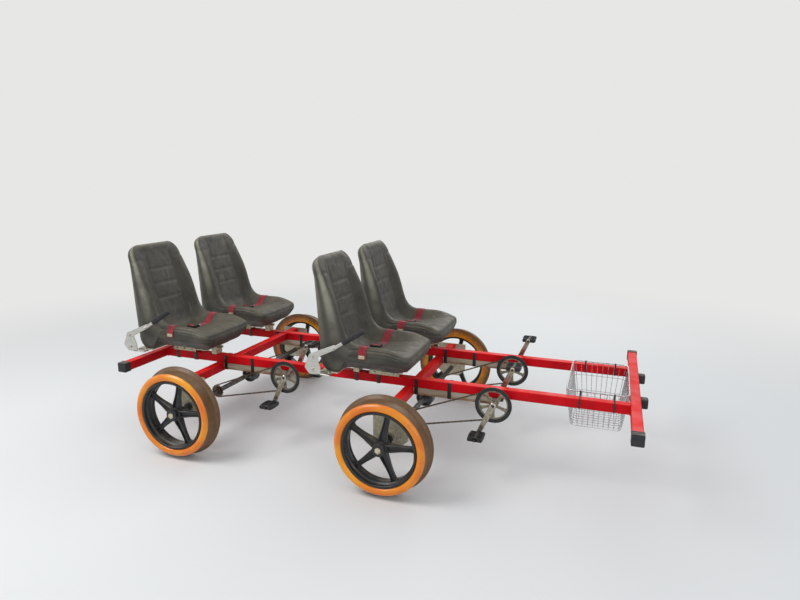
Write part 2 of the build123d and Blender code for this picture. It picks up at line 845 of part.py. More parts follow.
# Clamp straps: bands under the beams that hold the seat rails and the crank carriers up, and bands right
# round the beams with the tabs that carry the basket
with BuildPart() as straps:
    for row, axle_x, *_ in rows:
        for side, sign in sides:
            for ahead in clamps_ahead_of_axle:
                depth = tube_side + carrier_height if ahead > carrier_rear else tube_side
                with BuildSketch(lengthwise(axle_x + ahead, sign * beam_y, beam_top - depth / 2)):
                    with Locations((0, -(strap_thickness + seat_gap) / 2)):
                        Rectangle(strap_inside + 2 * strap_thickness, depth + strap_thickness + seat_gap)
                    with Locations((0, -seat_gap / 2)):
                        Rectangle(strap_inside, depth + seat_gap, mode=Mode.SUBTRACT)
                extrude(amount=strap_width / 2, both=True)
    for side, sign in sides:
        for offset in (-basket_strap_spacing / 2, basket_strap_spacing / 2):
            origin = (basket_middle + offset, sign * beam_y, beam_z)
            tab_height = basket_rim + rim_wire_radius - beam_z
            with BuildSketch(Plane(origin=origin, x_dir=(0, -sign, 0), z_dir=(-sign, 0, 0))):
                Rectangle(strap_inside + 2 * strap_thickness, strap_inside + 2 * strap_thickness)
                Rectangle(strap_inside, strap_inside, mode=Mode.SUBTRACT)
                with Locations(((strap_inside + strap_thickness) / 2, tab_height / 2)):
                    Rectangle(strap_thickness, tab_height)
            extrude(amount=strap_width / 2, both=True)
straps.part.label = "clamp_straps"
export_step(straps.part, "parts/clamp_straps.step")
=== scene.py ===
import json
from math import atan2, cos, hypot, pi, radians, sin

import bmesh
import bpy
import numpy as np
from mathutils import Matrix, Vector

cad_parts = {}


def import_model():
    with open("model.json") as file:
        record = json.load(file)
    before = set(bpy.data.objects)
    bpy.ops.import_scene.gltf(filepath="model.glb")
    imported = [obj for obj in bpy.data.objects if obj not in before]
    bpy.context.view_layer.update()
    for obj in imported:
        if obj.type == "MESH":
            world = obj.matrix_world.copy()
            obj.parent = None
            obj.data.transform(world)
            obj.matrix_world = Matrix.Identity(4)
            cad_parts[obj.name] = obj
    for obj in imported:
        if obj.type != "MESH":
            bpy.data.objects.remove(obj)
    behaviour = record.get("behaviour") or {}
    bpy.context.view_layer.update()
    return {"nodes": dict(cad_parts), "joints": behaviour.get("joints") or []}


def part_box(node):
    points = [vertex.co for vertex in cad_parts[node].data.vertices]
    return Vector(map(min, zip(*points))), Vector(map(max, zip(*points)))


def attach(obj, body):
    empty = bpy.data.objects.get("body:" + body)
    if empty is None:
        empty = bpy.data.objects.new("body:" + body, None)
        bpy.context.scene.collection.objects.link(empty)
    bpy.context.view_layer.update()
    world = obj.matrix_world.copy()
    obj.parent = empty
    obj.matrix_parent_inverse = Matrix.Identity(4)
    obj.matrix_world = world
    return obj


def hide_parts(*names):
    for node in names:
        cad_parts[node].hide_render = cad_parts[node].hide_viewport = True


# Looks of a four-seat pedal rail car, in metres. +X is forward, +Y is left, +Z is up.
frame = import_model()
cad_nodes = frame["nodes"]

rows = ("front", "rear")
sides = (("right", -1), ("left", 1))
signs = (-1, 1)
X, Y, Z = np.eye(3)

# Wheels
tread_radius = 0.239
tyre_bore = 0.196
spoke_turn = 78
wheel_width = 0.102
rim_inset = 0.006
flange_width = 0.022
spoke_count = 5
hub_radius = 0.036
axle_radius = 0.015

# Drive
chain_pitch = 0.0127
ring_teeth = 38
axle_teeth = 18
chain_links = 106
ring_inside = 0.0695
ring_thickness = 0.0022
spider_arms = 5
guard_radius = 0.096
guard_inside = 0.0762
crank_length = 0.170
crank_angle = 66
ring_offset = 0.060
right_arm_offset = 0.070
left_arm_offset = 0.062
arm_thickness = 0.014
pedal_size = (0.078, 0.092, 0.024)

# Frame and basket
tube_side = 0.050
bolt_width = 0.013
carrier_height = 0.038
basket_rim = 0.0035
basket_wire = 0.0015
basket_taper = 0.030
basket_drop = 0.200
hoop_shares = (0.40, 0.84)
wire_spacings = (0.034, 0.0262)

# Seats: distances run forwards from the back edge of the pan, heights from the seat's floor
seat_length = 0.430
seat_half_width = 0.220
seat_top_half = 0.200
belt_ahead = 0.1745
belt_width = 0.045


# Numbers and lines

def ramp(value, low, high):
    """Smooth step: 3t² − 2t³, where t is the share of the way from low to high, kept within 0 and 1."""
    share = np.clip((value - low) / (high - low), 0, 1)
    return share * share * (3 - 2 * share)


def level_run(start, end, z, share):
    """Points along x from start to end, at one height."""
    return np.stack([start + (end - start) * share, 0 * share, z + 0 * share], axis=-1)


def upright(line):
    """Line along y and z, in the plane where x is 0."""
    return np.column_stack([np.zeros(len(line)), line])


def polar(radius, angle):
    """Points in a plane: the radius times the cosine and sine of angles in radians."""
    return np.stack([radius * np.cos(angle), radius * np.sin(angle)], axis=-1)


def full_turn(count):
    """Equal angles round a full turn."""
    return 2 * pi * np.arange(count) / count


def arc(centre, radius, start, end, steps):
    """Arc in a plane about a centre, from one angle in degrees to another."""
    return np.array(centre) + polar(radius, np.radians(np.linspace(start, end, steps)))


def softened(corners, cut, steps=5, closed=True):
    """Line with eased corners. A corner is a parabola, (1−t)² start + 2t(1−t) corner + t² end, between
    the points that lie `cut` before it and after it. An open line keeps its two ends."""
    corners = np.array(corners, float)
    reach = []
    for neighbour in (np.roll(corners, 1, axis=0), np.roll(corners, -1, axis=0)):
        way = neighbour - corners
        length = np.linalg.norm(way, axis=1, keepdims=True)
        reach.append((corners + way / length * np.minimum(cut, 0.48 * length))[:, None])
    t = np.linspace(0, 1, steps)[None, :, None]
    line = (1 - t) ** 2 * reach[0] + 2 * t * (1 - t) * corners[:, None] + t**2 * reach[1]
    if closed:
        return line.reshape(-1, corners.shape[1])
    return np.vstack([corners[:1], line[1:-1].reshape(-1, corners.shape[1]), corners[-1:]])


def through(points, share):
    """Smooth line through points. Each span is the cubic with its end points' slopes, and share runs from 0
    to 1 with the length of the chords."""
    points = np.array(points, float)
    chord = np.concatenate([[0], np.cumsum(np.linalg.norm(np.diff(points, axis=0), axis=1))])
    slope = np.gradient(points, chord, axis=0)
    distance = np.asarray(share) * chord[-1]
    span = np.clip(np.searchsorted(chord, distance, side="right") - 1, 0, len(points) - 2)
    length = (chord[span + 1] - chord[span])[..., None]
    t = (distance - chord[span])[..., None] / length
    start = (2 * t**3 - 3 * t**2 + 1) * points[span] + (t**3 - 2 * t**2 + t) * length * slope[span]
    end = (3 * t**2 - 2 * t**3) * points[span + 1] + (t**3 - t**2) * length * slope[span + 1]
    return start + end


def circle(radius, count):
    """Points round a circle at equal angles."""
    return polar(radius, full_turn(count))


def rounded_box(width, height, cut, steps=4):
    """Outline of a rectangle about the origin with eased corners."""
    half, up = width / 2, height / 2
    return softened([(-half, -up), (half, -up), (half, up), (-half, up)], cut, steps)


def drawn_in(outline, amount):
    """Outline moved inwards: every point goes along the normal of the chord between its neighbours."""
    along = np.roll(outline, -1, axis=0) - np.roll(outline, 1, axis=0)
    along = along / np.maximum(np.linalg.norm(along, axis=1, keepdims=True), 1e-12)
    after = np.roll(outline, -1, axis=0)
    turns = np.sign(np.sum(outline[:, 0] * after[:, 1] - after[:, 0] * outline[:, 1]))
    return outline + amount * turns * np.stack([-along[:, 1], along[:, 0]], axis=-1)


# Shells: a shell is its points and its faces, held as arrays of corner numbers

def skin(grid, loop_rows=False, loop_columns=True):
    """Shell through a grid of points, a quad to each cell. A looped direction joins its last line to its
    first. Where only the columns loop, a flat face closes each end."""
    rows_count, columns = grid.shape[:2]
    index = np.arange(rows_count * columns).reshape(rows_count, columns)
    across = np.hstack([index, index[:, :1]]) if loop_columns else index
    down = np.vstack([across, across[:1]]) if loop_rows else across
    quads = np.stack([down[:-1, :-1], down[1:, :-1], down[1:, 1:], down[:-1, 1:]], axis=-1)
    faces = [quads.reshape(-1, 4)]
    if loop_columns and not loop_rows:
        faces += [index[:1, ::-1], index[-1:]]
    return grid.reshape(-1, 3), faces


def joined(shells):
    """Shells put together: one array of points, each shell's faces counted on from its first point."""
    starts = np.cumsum([0] + [len(shell[0]) for shell in shells[:-1]])
    faces = [block + start for shell, start in zip(shells, starts) for block in shell[1]]
    return np.vstack([shell[0] for shell in shells]), faces


def moved(shell, matrix):
    """Shell at another place: its points turned by the matrix and shifted by its last column."""
    points, faces = shell
    return points @ matrix[:3, :3].T + matrix[:3, 3], faces


def shifted(shell, x=0, y=0, z=0):
    """Shell moved along the axes."""
    return shell[0] + np.array((x, y, z)), shell[1]


def placed(shells, matrix):
    """Every shell of a group at another place."""
    return [moved(shell, matrix) for shell in shells]


def copies(shell, matrices):
    """The same shell at many places."""
    return joined([moved(shell, matrix) for matrix in matrices])


def facing(origin, outward, forward=(1, 0, 0)):
    """Matrix whose z points outward and whose x is the forward direction made square to it."""
    z = np.array(outward, float) / np.linalg.norm(outward)
    x = np.array(forward, float) - np.dot(forward, z) * z
    x = x / np.linalg.norm(x)
    matrix = np.eye(4)
    matrix[:3, :3] = np.stack([x, np.cross(z, x), z], axis=-1)
    matrix[:3, 3] = origin
    return matrix


def leaning(angle):
    """Direction in the upright plane along X, at an angle in degrees above forward."""
    return np.array((cos(radians(angle)), 0, sin(radians(angle))))


def around(shell, count, start=0.0):
    """Copies of a shell turned about z at equal angles."""
    turns = start + full_turn(count)
    return copies(shell, [facing((0, 0, 0), Z, (cos(turn), sin(turn), 0)) for turn in turns])


def layers(outlines, heights):
    """Rows of a grid: each plane outline at its height along z."""
    return np.stack([np.column_stack([line, np.full(len(line), z)]) for line, z in zip(outlines, heights)])


def bar(outline, low, high):
    """Straight bar along z with the same outline at both ends."""
    return skin(layers((outline, outline), (low, high)))


def stacked_squares(sizes, heights, cut, steps):
    """Shell through squares with eased corners, one at each height along z."""
    return skin(layers([rounded_box(size, size, cut, steps) for size in sizes], heights))


def plate(outline, thickness, bevel=0.0008):
    """Plate from z 0 to its thickness: the outline drawn in by the bevel, full, full, and drawn in."""
    outline = np.array(outline)
    inside = drawn_in(outline, bevel)
    heights = (0, bevel, thickness - bevel, thickness)
    return skin(layers((inside, outline, outline, inside), heights))


def ring(outer, inner, thickness):
    """Plate with a hole: up the outer outline, across, and down the inner one, which has as many points."""
    bevel = 0.0004
    outer, inner = np.array(outer), np.array(inner)
    outer_in, inner_out = drawn_in(outer, bevel), drawn_in(inner, -bevel)
    lines = (outer_in, outer, outer, outer_in, inner_out, inner, inner, inner_out)
    up = (0, bevel, thickness - bevel, thickness)
    return skin(layers(lines, up + up[::-1]), loop_rows=True)


def block(low, high, bevel):
    """Bar with eased edges between two corners: a plate whose outline is the rectangle with cut corners."""
    low, high = np.array(low, float), np.array(high, float)
    size, centre = high - low, (high + low) / 2
    outline = rounded_box(size[0], size[1], bevel, 2) + centre[:2]
    return shifted(plate(outline, size[2], bevel * 0.7), z=low[2])


def lathe(profile, segments, closed=False):
    """Turned piece about z: profile point (r, z) at angle a is (r cos a, r sin a, z). A closed profile
    makes a ring, and an open one is closed by a flat disc at each end."""
    angle = full_turn(segments)
    radius, height = np.array(profile, float).T[:, :, None]
    grid = np.stack([radius * np.cos(angle), radius * np.sin(angle), height + 0 * angle], axis=-1)
    return skin(grid, loop_rows=closed)


def both_halves(half, middle_height=0.0):
    """Profile and its mirror image across a height."""
    return half + [(radius, 2 * middle_height - z) for radius, z in reversed(half)]


def carried(path, section, across, loop=False):
    """Section carried along a path. The section's x lies along `across` made square to the path, and its y
    is square to both. The section is one outline, or one for each point of the path."""
    path = np.array(path, float)
    if loop:
        along = np.roll(path, -1, axis=0) - np.roll(path, 1, axis=0)
    else:
        along = np.gradient(path, axis=0)
    along = along / np.linalg.norm(along, axis=1, keepdims=True)
    across = np.broadcast_to(np.array(across, float), path.shape)
    side = across - np.sum(across * along, axis=1, keepdims=True) * along
    side = side / np.linalg.norm(side, axis=1, keepdims=True)
    up = np.cross(along, side)
    section = np.broadcast_to(section, (len(path),) + np.shape(section)[-2:])
    grid = path[:, None] + section[..., :1] * side[:, None] + section[..., 1:] * up[:, None]
    return skin(grid, loop_rows=loop)


def in_scene(name, data):
    """Object made of data and put in the scene."""
    made = bpy.data.objects.new(name, data)
    bpy.context.scene.collection.objects.link(made)
    return made


def piece(name, shells, material, replaces=(), body="frame", sharp=35):
    """Mesh object made of shells, with normals outwards and edges over the sharp angle left sharp. Its slot
    comes from its material."""
    points, faces = joined(shells)
    mesh = bpy.data.meshes.new(name)
    mesh.from_pydata(points.tolist(), [], [face for block in faces for face in block.tolist()])
    shape = bmesh.new()
    shape.from_mesh(mesh)
    bmesh.ops.recalc_face_normals(shape, faces=shape.faces)
    shape.to_mesh(mesh)
    shape.free()
    mesh.shade_smooth()
    mesh.set_sharp_from_angle(angle=radians(sharp))
    mesh.materials.append(material)
    made = in_scene(name, mesh)
    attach(made, body)
    if replaces:
        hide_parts(*replaces)
    return made


def mark(made, name, value_at):
    """Number at every point of a piece, which its material reads by name."""
    mesh = made.data
    points = np.zeros(len(mesh.vertices) * 3)
    mesh.vertices.foreach_get("co", points)
    layer = mesh.attributes.new(name, "FLOAT", "POINT")
    layer.data.foreach_set("value", np.asarray(value_at(points.reshape(-1, 3)), np.float32))


def middle(node):
    """Middle of a node's box."""
    low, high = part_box(node)
    return np.array((low + high) / 2)


# Materials

def colour(red, green, blue):
    """Colour from screen values of 0 to 255, made linear by the screen's curve."""
    screen = np.array((red, green, blue)) / 255
    linear = np.where(screen <= 0.04045, screen / 12.92, ((screen + 0.055) / 1.055) ** 2.4)
    return (*linear, 1)


def add(tree, kind, inputs=None, **settings):
    """Node with its settings made and its inputs set or linked."""
    made = tree.nodes.new("ShaderNode" + kind)
    for name, value in settings.items():
        setattr(made, name, value)
    for name, value in (inputs or {}).items():
        if isinstance(value, bpy.types.NodeSocket):
            tree.links.new(value, made.inputs[name])
        else:
            made.inputs[name].default_value = value
    return made


def surface_place(tree, stretch=(1, 1, 1)):
    """Place on the object, stretched along its axes."""
    where = add(tree, "TexCoord").outputs["Object"]
    return add(tree, "Mapping", {"Vector": where, "Scale": stretch}).outputs["Vector"]


def noise(tree, scale, detail, stretch=(1, 1, 1)):
    """Clouded grey between 0 and 1, with so many lumps to the metre."""
    inputs = {"Vector": surface_place(tree, stretch), "Scale": scale, "Detail": detail}
    return add(tree, "TexNoise", inputs).outputs["Fac"]


def object_axis(tree, axis):
    """Distance along one of the object's axes."""
    return add(tree, "SeparateXYZ", {0: add(tree, "TexCoord").outputs["Object"]}).outputs[axis]


def cells(tree, scale):
    """Grey of small cells, dark in their middles."""
    return add(tree, "TexVoronoi", {"Vector": surface_place(tree), "Scale": scale}).outputs["Distance"]


def between(tree, value, low, high, bottom=0.0, top=1.0):
    """Smooth step of a value from low to high, spread from bottom to top."""
    inputs = {"Value": value, "From Min": low, "From Max": high, "To Min": bottom, "To Max": top}
    return add(tree, "MapRange", inputs, interpolation_type="SMOOTHSTEP").outputs["Result"]


def both(tree, first, second, operation="MULTIPLY"):
    """Two numbers multiplied, or joined by another operation."""
    return add(tree, "Math", {0: first, 1: second}, operation=operation).outputs[0]


def mixed(tree, share, first, second):
    """Two colours mixed by a share."""
    return add(tree, "Mix", {0: share, 6: first, 7: second}, data_type="RGBA").outputs[2]


def clouded(tree, first, second, scale, detail, low=0.3, high=0.7, stretch=(1, 1, 1)):
    """Two colours clouded together."""
    return mixed(tree, between(tree, noise(tree, scale, detail, stretch), low, high), first, second)


def patchy(scale, detail, bottom, top, low=0.3, high=0.7, stretch=(1, 1, 1)):
    """Maker of a number that varies in patches from bottom to top."""
    return lambda tree: between(tree, noise(tree, scale, detail, stretch), low, high, bottom, top)


def facing_up(tree, low=0.35, high=0.95):
    """How far a surface faces up, from its own normal."""
    normal = add(tree, "TexCoord").outputs["Normal"]
    return between(tree, add(tree, "SeparateXYZ", {0: normal}).outputs["Z"], low, high)


def marked(tree, name):
    """Number kept on the piece's points."""
    return add(tree, "Attribute", attribute_name=name).outputs["Fac"]


def relief(tree, height, depth, under=None):
    """Normal of a surface raised by a height times a depth in metres."""
    inputs = {"Height": height, "Distance": depth}
    if under is not None:
        inputs["Normal"] = under
    return add(tree, "Bump", inputs).outputs["Normal"]


def grained(scale, detail, depth, stretch=(1, 1, 1)):
    """Maker of the normal of a finely grained surface."""
    return lambda tree: relief(tree, noise(tree, scale, detail, stretch), depth)


def finish_of(name, tint, roughness, metallic=0.0, normal=None, **sockets):
    """Material with values on the shader's sockets. A function among them makes a tree for its socket."""
    material = bpy.data.materials.new(name)
    material.use_nodes = True
    tree = material.node_tree
    shader = tree.nodes["Principled BSDF"]
    wanted = {"Base Color": tint, "Roughness": roughness, "Metallic": metallic, "Normal": normal, **sockets}
    for socket, value in wanted.items():
        if callable(value):
            value = value(tree)
        if isinstance(value, bpy.types.NodeSocket):
            tree.links.new(value, shader.inputs[socket])
        elif value is not None:
            shader.inputs[socket].default_value = value
    return material


road_dust = colour(146, 132, 112)


def dusted(tree, tint, amount):
    """Tint with grey road dust on what faces up, in patches."""
    patches = both(tree, facing_up(tree), between(tree, noise(tree, 9, 5), 0.38, 0.72, 0.0, amount))
    return mixed(tree, patches, tint, road_dust)


def red_paint(name, run, centre):
    """Red paint on square tube, made brighter where it faces the sky by a painted highlight, chipped to
    primer along its four edges, with a little dust on top and a faint orange peel. An edge is where the
    distances from the tube's centre line, one across and one up, add up to the most."""
    def offset(tree, axis, place):
        value = object_axis(tree, axis)
        if axis == "Y" and run == "X":
            value = both(tree, value, 0.0, "ABSOLUTE")
        return both(tree, both(tree, value, place, "SUBTRACT"), 0.0, "ABSOLUTE")

    def edges(tree):
        across = offset(tree, "Y" if run == "X" else "X", centre[0])
        summed = both(tree, across, offset(tree, "Z", centre[1]), "ADD")
        return between(tree, summed, 0.0445, 0.0475)

    def tint(tree):
        paint = clouded(tree, colour(182, 7, 20), colour(208, 12, 24), 6, 4)
        # painted highlight: faces that point up are mixed towards a brighter red, as if lit from above
        paint = mixed(tree, facing_up(tree), paint, colour(236, 20, 20))
        worn = both(tree, edges(tree), between(tree, noise(tree, 75, 6), 0.56, 0.66))
        scuffed = both(tree, between(tree, noise(tree, 160, 6), 0.70, 0.76), 0.75)
        chips = both(tree, worn, scuffed, "MAXIMUM")
        return dusted(tree, mixed(tree, chips, paint, colour(92, 74, 70)), 0.09)

    gloss = patchy(14, 5, 0.34, 0.58, 0.3, 0.75)
    peel = grained(420, 2, 0.00018)
    return finish_of(name, tint, gloss, normal=peel, **{"Specular IOR Level": 0.12})


def streaks(tree):
    """Lines round the wheel: noise that varies with the distance across the tread alone."""
    across = add(tree, "CombineXYZ", {"X": both(tree, marked(tree, "out"), 130.0)})
    lines = add(tree, "TexNoise", {"Vector": across.outputs["Vector"], "Scale": 1.0, "Detail": 4.0})
    return between(tree, lines.outputs["Fac"], 0.42, 0.68, 0.0, 0.4)


def urethane():
    """Cast orange tyre: paler where worn smooth, brown with rail dirt where it is marked as soiled."""
    def tint(tree):
        clean = clouded(tree, colour(222, 108, 2), colour(240, 156, 6), 5, 4)
        dirt = mixed(tree, noise(tree, 30, 5), colour(76, 52, 28), colour(124, 88, 46))
        dirt = mixed(tree, streaks(tree), dirt, colour(60, 42, 26))
        patches = both(tree, noise(tree, 34, 8), 0.5)
        share = between(tree, both(tree, marked(tree, "soil"), patches, "ADD"), 0.45, 1.0)
        return mixed(tree, share, clean, dirt)

    def rough(tree):
        soiled = both(tree, marked(tree, "soil"), noise(tree, 18, 6), "ADD")
        return between(tree, soiled, 0.6, 1.3, 0.26, 0.62)

    def scratches(tree):
        fine = relief(tree, noise(tree, 260, 4, (1, 0.2, 1)), 0.00025)
        return relief(tree, noise(tree, 22, 3), 0.0008, fine)

    coat = {"Coat Weight": 0.25, "Coat Roughness": 0.2}
    return finish_of("urethane", tint, rough, normal=scratches, **coat)


def moulded_black(name, dust, rough, grain=0.0003, grain_scale=600):
    """Black moulded plastic or rubber with a fine grain and dust on what faces up."""
    def tint(tree):
        return dusted(tree, clouded(tree, colour(22, 23, 25), colour(38, 38, 40), 25, 4, 0.35), dust)

    gloss = patchy(40, 4, rough - 0.08, rough + 0.12)
    return finish_of(name, tint, gloss, normal=grained(grain_scale, 2, grain))


def metal(name, light, dark, rough, stain=None, brushed=(1, 1, 1), scale=90):
    """Bare metal: two greys clouded together, brown stains in patches, and brushing along an axis."""
    def tint(tree):
        base = clouded(tree, colour(*dark), colour(*light), scale, 4, stretch=brushed)
        if stain is None:
            return base
        patches = between(tree, noise(tree, 24, 8), 0.58, 0.74, 0.0, 0.45)
        return mixed(tree, patches, base, colour(*stain))

    gloss = patchy(35, 5, rough - 0.1, rough + 0.12, stretch=brushed)
    return finish_of(name, tint, gloss, 0.9, grained(scale * 4, 3, 0.00015, brushed))


def weathered_bar():
    """Dull beige coating on the carrier bars, with rust-brown runs that thicken towards the lower edge."""
    def tint(tree):
        base = clouded(tree, colour(186, 176, 158), colour(160, 148, 128), 22, 5, stretch=(0.25, 1, 1))
        bottom, upper = beam_bottom - carrier_height, beam_bottom - 0.2 * carrier_height
        low = between(tree, object_axis(tree, "Z"), bottom, upper, 0.30, 0.0)
        runs = both(tree, noise(tree, 34, 7, (0.35, 1, 1)), low, "ADD")
        return mixed(tree, between(tree, runs, 0.60, 0.84, 0.0, 0.85), base, colour(138, 88, 48))

    return finish_of("weathered_bar", tint, patchy(50, 5, 0.42, 0.68), 0.35, grained(240, 3, 0.0003))


def galvanised():
    """Zinc-coated steel: pale spangled cells, dulled, with brown stains."""
    def tint(tree):
        pale = between(tree, cells(tree, 70), 0.1, 0.7)
        spangle = mixed(tree, pale, colour(208, 202, 178), colour(188, 181, 156))
        stains = between(tree, noise(tree, 16, 8), 0.60, 0.76, 0.0, 0.4)
        return mixed(tree, stains, spangle, colour(120, 88, 58))

    return finish_of("galvanised", tint, patchy(60, 5, 0.36, 0.6), 0.4, grained(300, 3, 0.0002))


def seat_skin():
    """Grained seat skin, charcoal with a painted highlight that turns it olive where it faces the sky, pale
    where the piece is marked as an edge, partly bleaching and partly a painted rim highlight, and bleached
    in faint runs down the shell."""
    def tint(tree):
        base = clouded(tree, colour(46, 46, 42), colour(68, 64, 54), 7, 5)
        patches = between(tree, noise(tree, 16, 5), 0.3, 0.7, 0.35, 0.8)
        # painted highlight: surfaces that face up are mixed towards a lighter olive, in patches
        base = mixed(tree, both(tree, facing_up(tree, 0.1, 0.9), patches), base, colour(94, 87, 70))
        runs = between(tree, noise(tree, 26, 6, (1, 1, 0.16)), 0.60, 0.78, 0.0, 0.35)
        rim_patches = between(tree, noise(tree, 11, 6), 0.3, 0.66, 0.3, 0.95)
        # rim mark in patches: partly bleaching, partly a painted rim highlight
        share = both(tree, marked(tree, "edge"), rim_patches)
        return mixed(tree, both(tree, share, runs, "MAXIMUM"), base, colour(140, 138, 122))

    def grain(tree):
        leather = relief(tree, cells(tree, 420), 0.0006)
        return relief(tree, noise(tree, 60, 4), 0.0008, leather)

    return finish_of("seat_skin", tint, patchy(30, 5, 0.46, 0.66), normal=grain)


def webbing():
    """Red polyester webbing: ribs along the strap and a fine weft across it, faded in patches."""
    rib, weft = 0.0045, 0.0018

    def wave(tree, name, length):
        turns = both(tree, marked(tree, name), 2 * pi / length)
        return add(tree, "Math", {0: turns}, operation="SINE").outputs[0]

    def tint(tree):
        faded = clouded(tree, colour(150, 14, 34), colour(186, 34, 52), 30, 5, 0.3, 0.75)
        shade = between(tree, wave(tree, "across", rib), -0.2, 1, 0, 0.35)
        return mixed(tree, shade, faded, colour(96, 8, 22))

    def weave(tree):
        ribs = relief(tree, wave(tree, "across", rib), 0.0005)
        return relief(tree, wave(tree, "along", weft), 0.0002, ribs)

    return finish_of("webbing", tint, 0.72, normal=weave, **{"Sheen Weight": 0.25})


def chrome_wire():
    """Plated wire, bright with duller patches."""
    def tint(tree):
        return clouded(tree, colour(186, 187, 190), colour(112, 106, 98), 45, 5, 0.5, 0.8)

    return finish_of("chrome_wire", tint, patchy(60, 5, 0.14, 0.42, 0.35, 0.75), 0.95)


def button_plastic():
    """Red plastic of the buckles' buttons."""
    def tint(tree):
        return mixed(tree, noise(tree, 40, 3), colour(168, 16, 24), colour(196, 30, 36))

    return finish_of("red_plastic", tint, 0.4, normal=grained(500, 2, 0.0002))


beam_middle_y = (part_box("left_beam")[0].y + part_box("left_beam")[1].y) / 2
beam_z = middle("left_beam")[2]
beam_top = beam_z + tube_side / 2
beam_bottom = beam_z - tube_side / 2

lengthwise_red = red_paint("red_lengthwise", "X", (beam_middle_y, beam_z))
cross_tubes = ("front_bumper", "rear_bumper", "mid_cross_tube", "front_axle_tube", "rear_axle_tube")
cross_reds = {name: red_paint("red_" + name, "Y", middle(name)[[0, 2]]) for name in cross_tubes}
orange = urethane()
wheel_plastic = moulded_black("wheel_plastic", 0.45, 0.36)
black_plastic = moulded_black("black_plastic", 0.3, 0.5)
black_rubber = moulded_black("black_rubber", 0.25, 0.62, 0.0005, 350)
black_enamel = moulded_black("black_enamel", 0.3, 0.34, 0.00015, 300)
aluminium = metal("aluminium", (206, 205, 198), (190, 188, 181), 0.34, None, (0.12, 1, 1), 260)
crank_alloy = metal("crank_alloy", (184, 178, 162), (150, 143, 126), 0.34, (110, 88, 62))
# painted shade: the spider's alloy is a darker copy of the crank arms' alloy
shaded_spider_alloy = metal("shaded_spider_alloy", (150, 143, 126), (112, 104, 88), 0.36, (86, 66, 44))
dark_steel = metal("dark_steel", (112, 112, 114), (74, 74, 76), 0.42, (84, 56, 38))
chain_steel = metal("chain_steel", (128, 116, 98), (78, 66, 54), 0.4, (70, 44, 28), scale=160)
bright_bolt = metal("bright_bolt", (214, 212, 204), (170, 166, 156), 0.3, (120, 90, 60))
zinc = galvanised()
carrier_coat = weathered_bar()
skin_of_seat = seat_skin()
red_webbing = webbing()
red_plastic = button_plastic()
chrome = chrome_wire()


# Fasteners and welds

def hex_bolt(width=bolt_width, head=0.0055):
    """Bolt head on a washer, standing on z 0: a hexagon whose top is chamfered to a circle."""
    corner = width / 2 / cos(pi / 6)
    hexagon = softened(circle(corner, 6), corner * 0.06, 3)
    chamfer = circle(width * 0.46, len(hexagon))
    seat_z = 0.0014
    head_rows = layers((hexagon, hexagon, chamfer), (seat_z, seat_z + head * 0.82, seat_z + head))
    rim = [(width * 0.78, 0), (width * 0.8, 0.0004), (width * 0.8, 0.0011), (width * 0.76, 0.0015)]
    return joined([skin(head_rows), lathe(rim, 20)])


def dome_bolt(radius, height):
    """Round carriage bolt head: a quarter ellipse turned about z."""
    return lathe(arc((0, 0), 1, 0, 80, 6) * (radius, height), 20)


def weld_path(corners):
    """Points along straight runs between corners, one for every step of length."""
    step = 0.0022
    corners = np.array(corners, float)
    lengths = np.linalg.norm(np.diff(corners, axis=0), axis=1)
    total = np.concatenate([[0], np.cumsum(lengths)])
    distance = np.linspace(0, total[-1], int(total[-1] / step) + 1)
    return np.stack([np.interp(distance, total, corners[:, axis]) for axis in range(3)], axis=-1), distance


def weld_bead(corners, across):
    """Rippled bead along a seam: a tube whose radius swells with the sine of the length along it."""
    radius, ripple = 0.0042, 0.0068
    path, distance = weld_path(corners)
    size = radius * (0.86 + 0.16 * np.abs(np.sin(pi * distance / ripple)))
    ends = np.minimum(distance, distance[-1] - distance) / radius
    size = size * np.sqrt(np.clip(ends + 0.2, 0.2, 1))
    section = circle(1, 8)[None] * size[:, None, None]
    return carried(path, section, across)


# Wheels

def tyre_profile():
    """Cross-section of the cast tyre, as (radius, distance outwards from the flange's back): bore, flange
    with a rounded lip, root fillet, coned tread, and a full rounded outer shoulder."""
    flange_height, lip_radius, root_radius, shoulder_radius = 0.018, 0.0055, 0.009, 0.024
    flange = tread_radius + flange_height
    lip = arc((flange - lip_radius, lip_radius), lip_radius, 250, 415, 9)
    root = arc((tread_radius + root_radius, flange_width + 0.006), root_radius, 225, 180, 5)
    shoulder = arc((tread_radius - 0.0245, wheel_width - shoulder_radius), shoulder_radius, 4, 88, 11)
    inner_edge = arc((tyre_bore + 0.0165, wheel_width - 0.0175), 0.016, 96, 172, 9)
    parts = ([(tyre_bore, 0.004)], [(tyre_bore + 0.003, 0)], lip, root, shoulder, inner_edge)
    return np.vstack(parts)


def barrel_profile():
    """Cross-section of the moulded rim: raised lips, and a thick band where the spokes meet it."""
    outer, lip, wall = tyre_bore - 0.0003, tyre_bore - 0.0125, tyre_bore - 0.0090
    band, mid = tyre_bore - 0.0190, wheel_width / 2
    low, high = rim_inset, wheel_width - rim_inset
    half = [(lip + 0.002, low), (lip, low + 0.002), (lip, low + 0.007), (wall, low + 0.011)]
    half += [(wall, mid - 0.022), (band + 0.002, mid - 0.016), (band, mid - 0.013)]
    return [(outer, high - 0.001), (outer, low + 0.001)] + both_halves(half, mid)


def hub_profile():
    """Cross-section of the hub: flanged ends, a waist, and a boss in the middle for the spokes."""
    mid, bore = wheel_width / 2, axle_radius + 0.0002
    half = [(bore, 0.010), (hub_radius - 0.006, 0.010), (hub_radius - 0.003, 0.012)]
    half += [(hub_radius - 0.003, 0.020), (hub_radius - 0.008, 0.026)]
    half += [(hub_radius - 0.008, mid - 0.020), (hub_radius + 0.004, mid - 0.015)]
    return both_halves(half, mid)


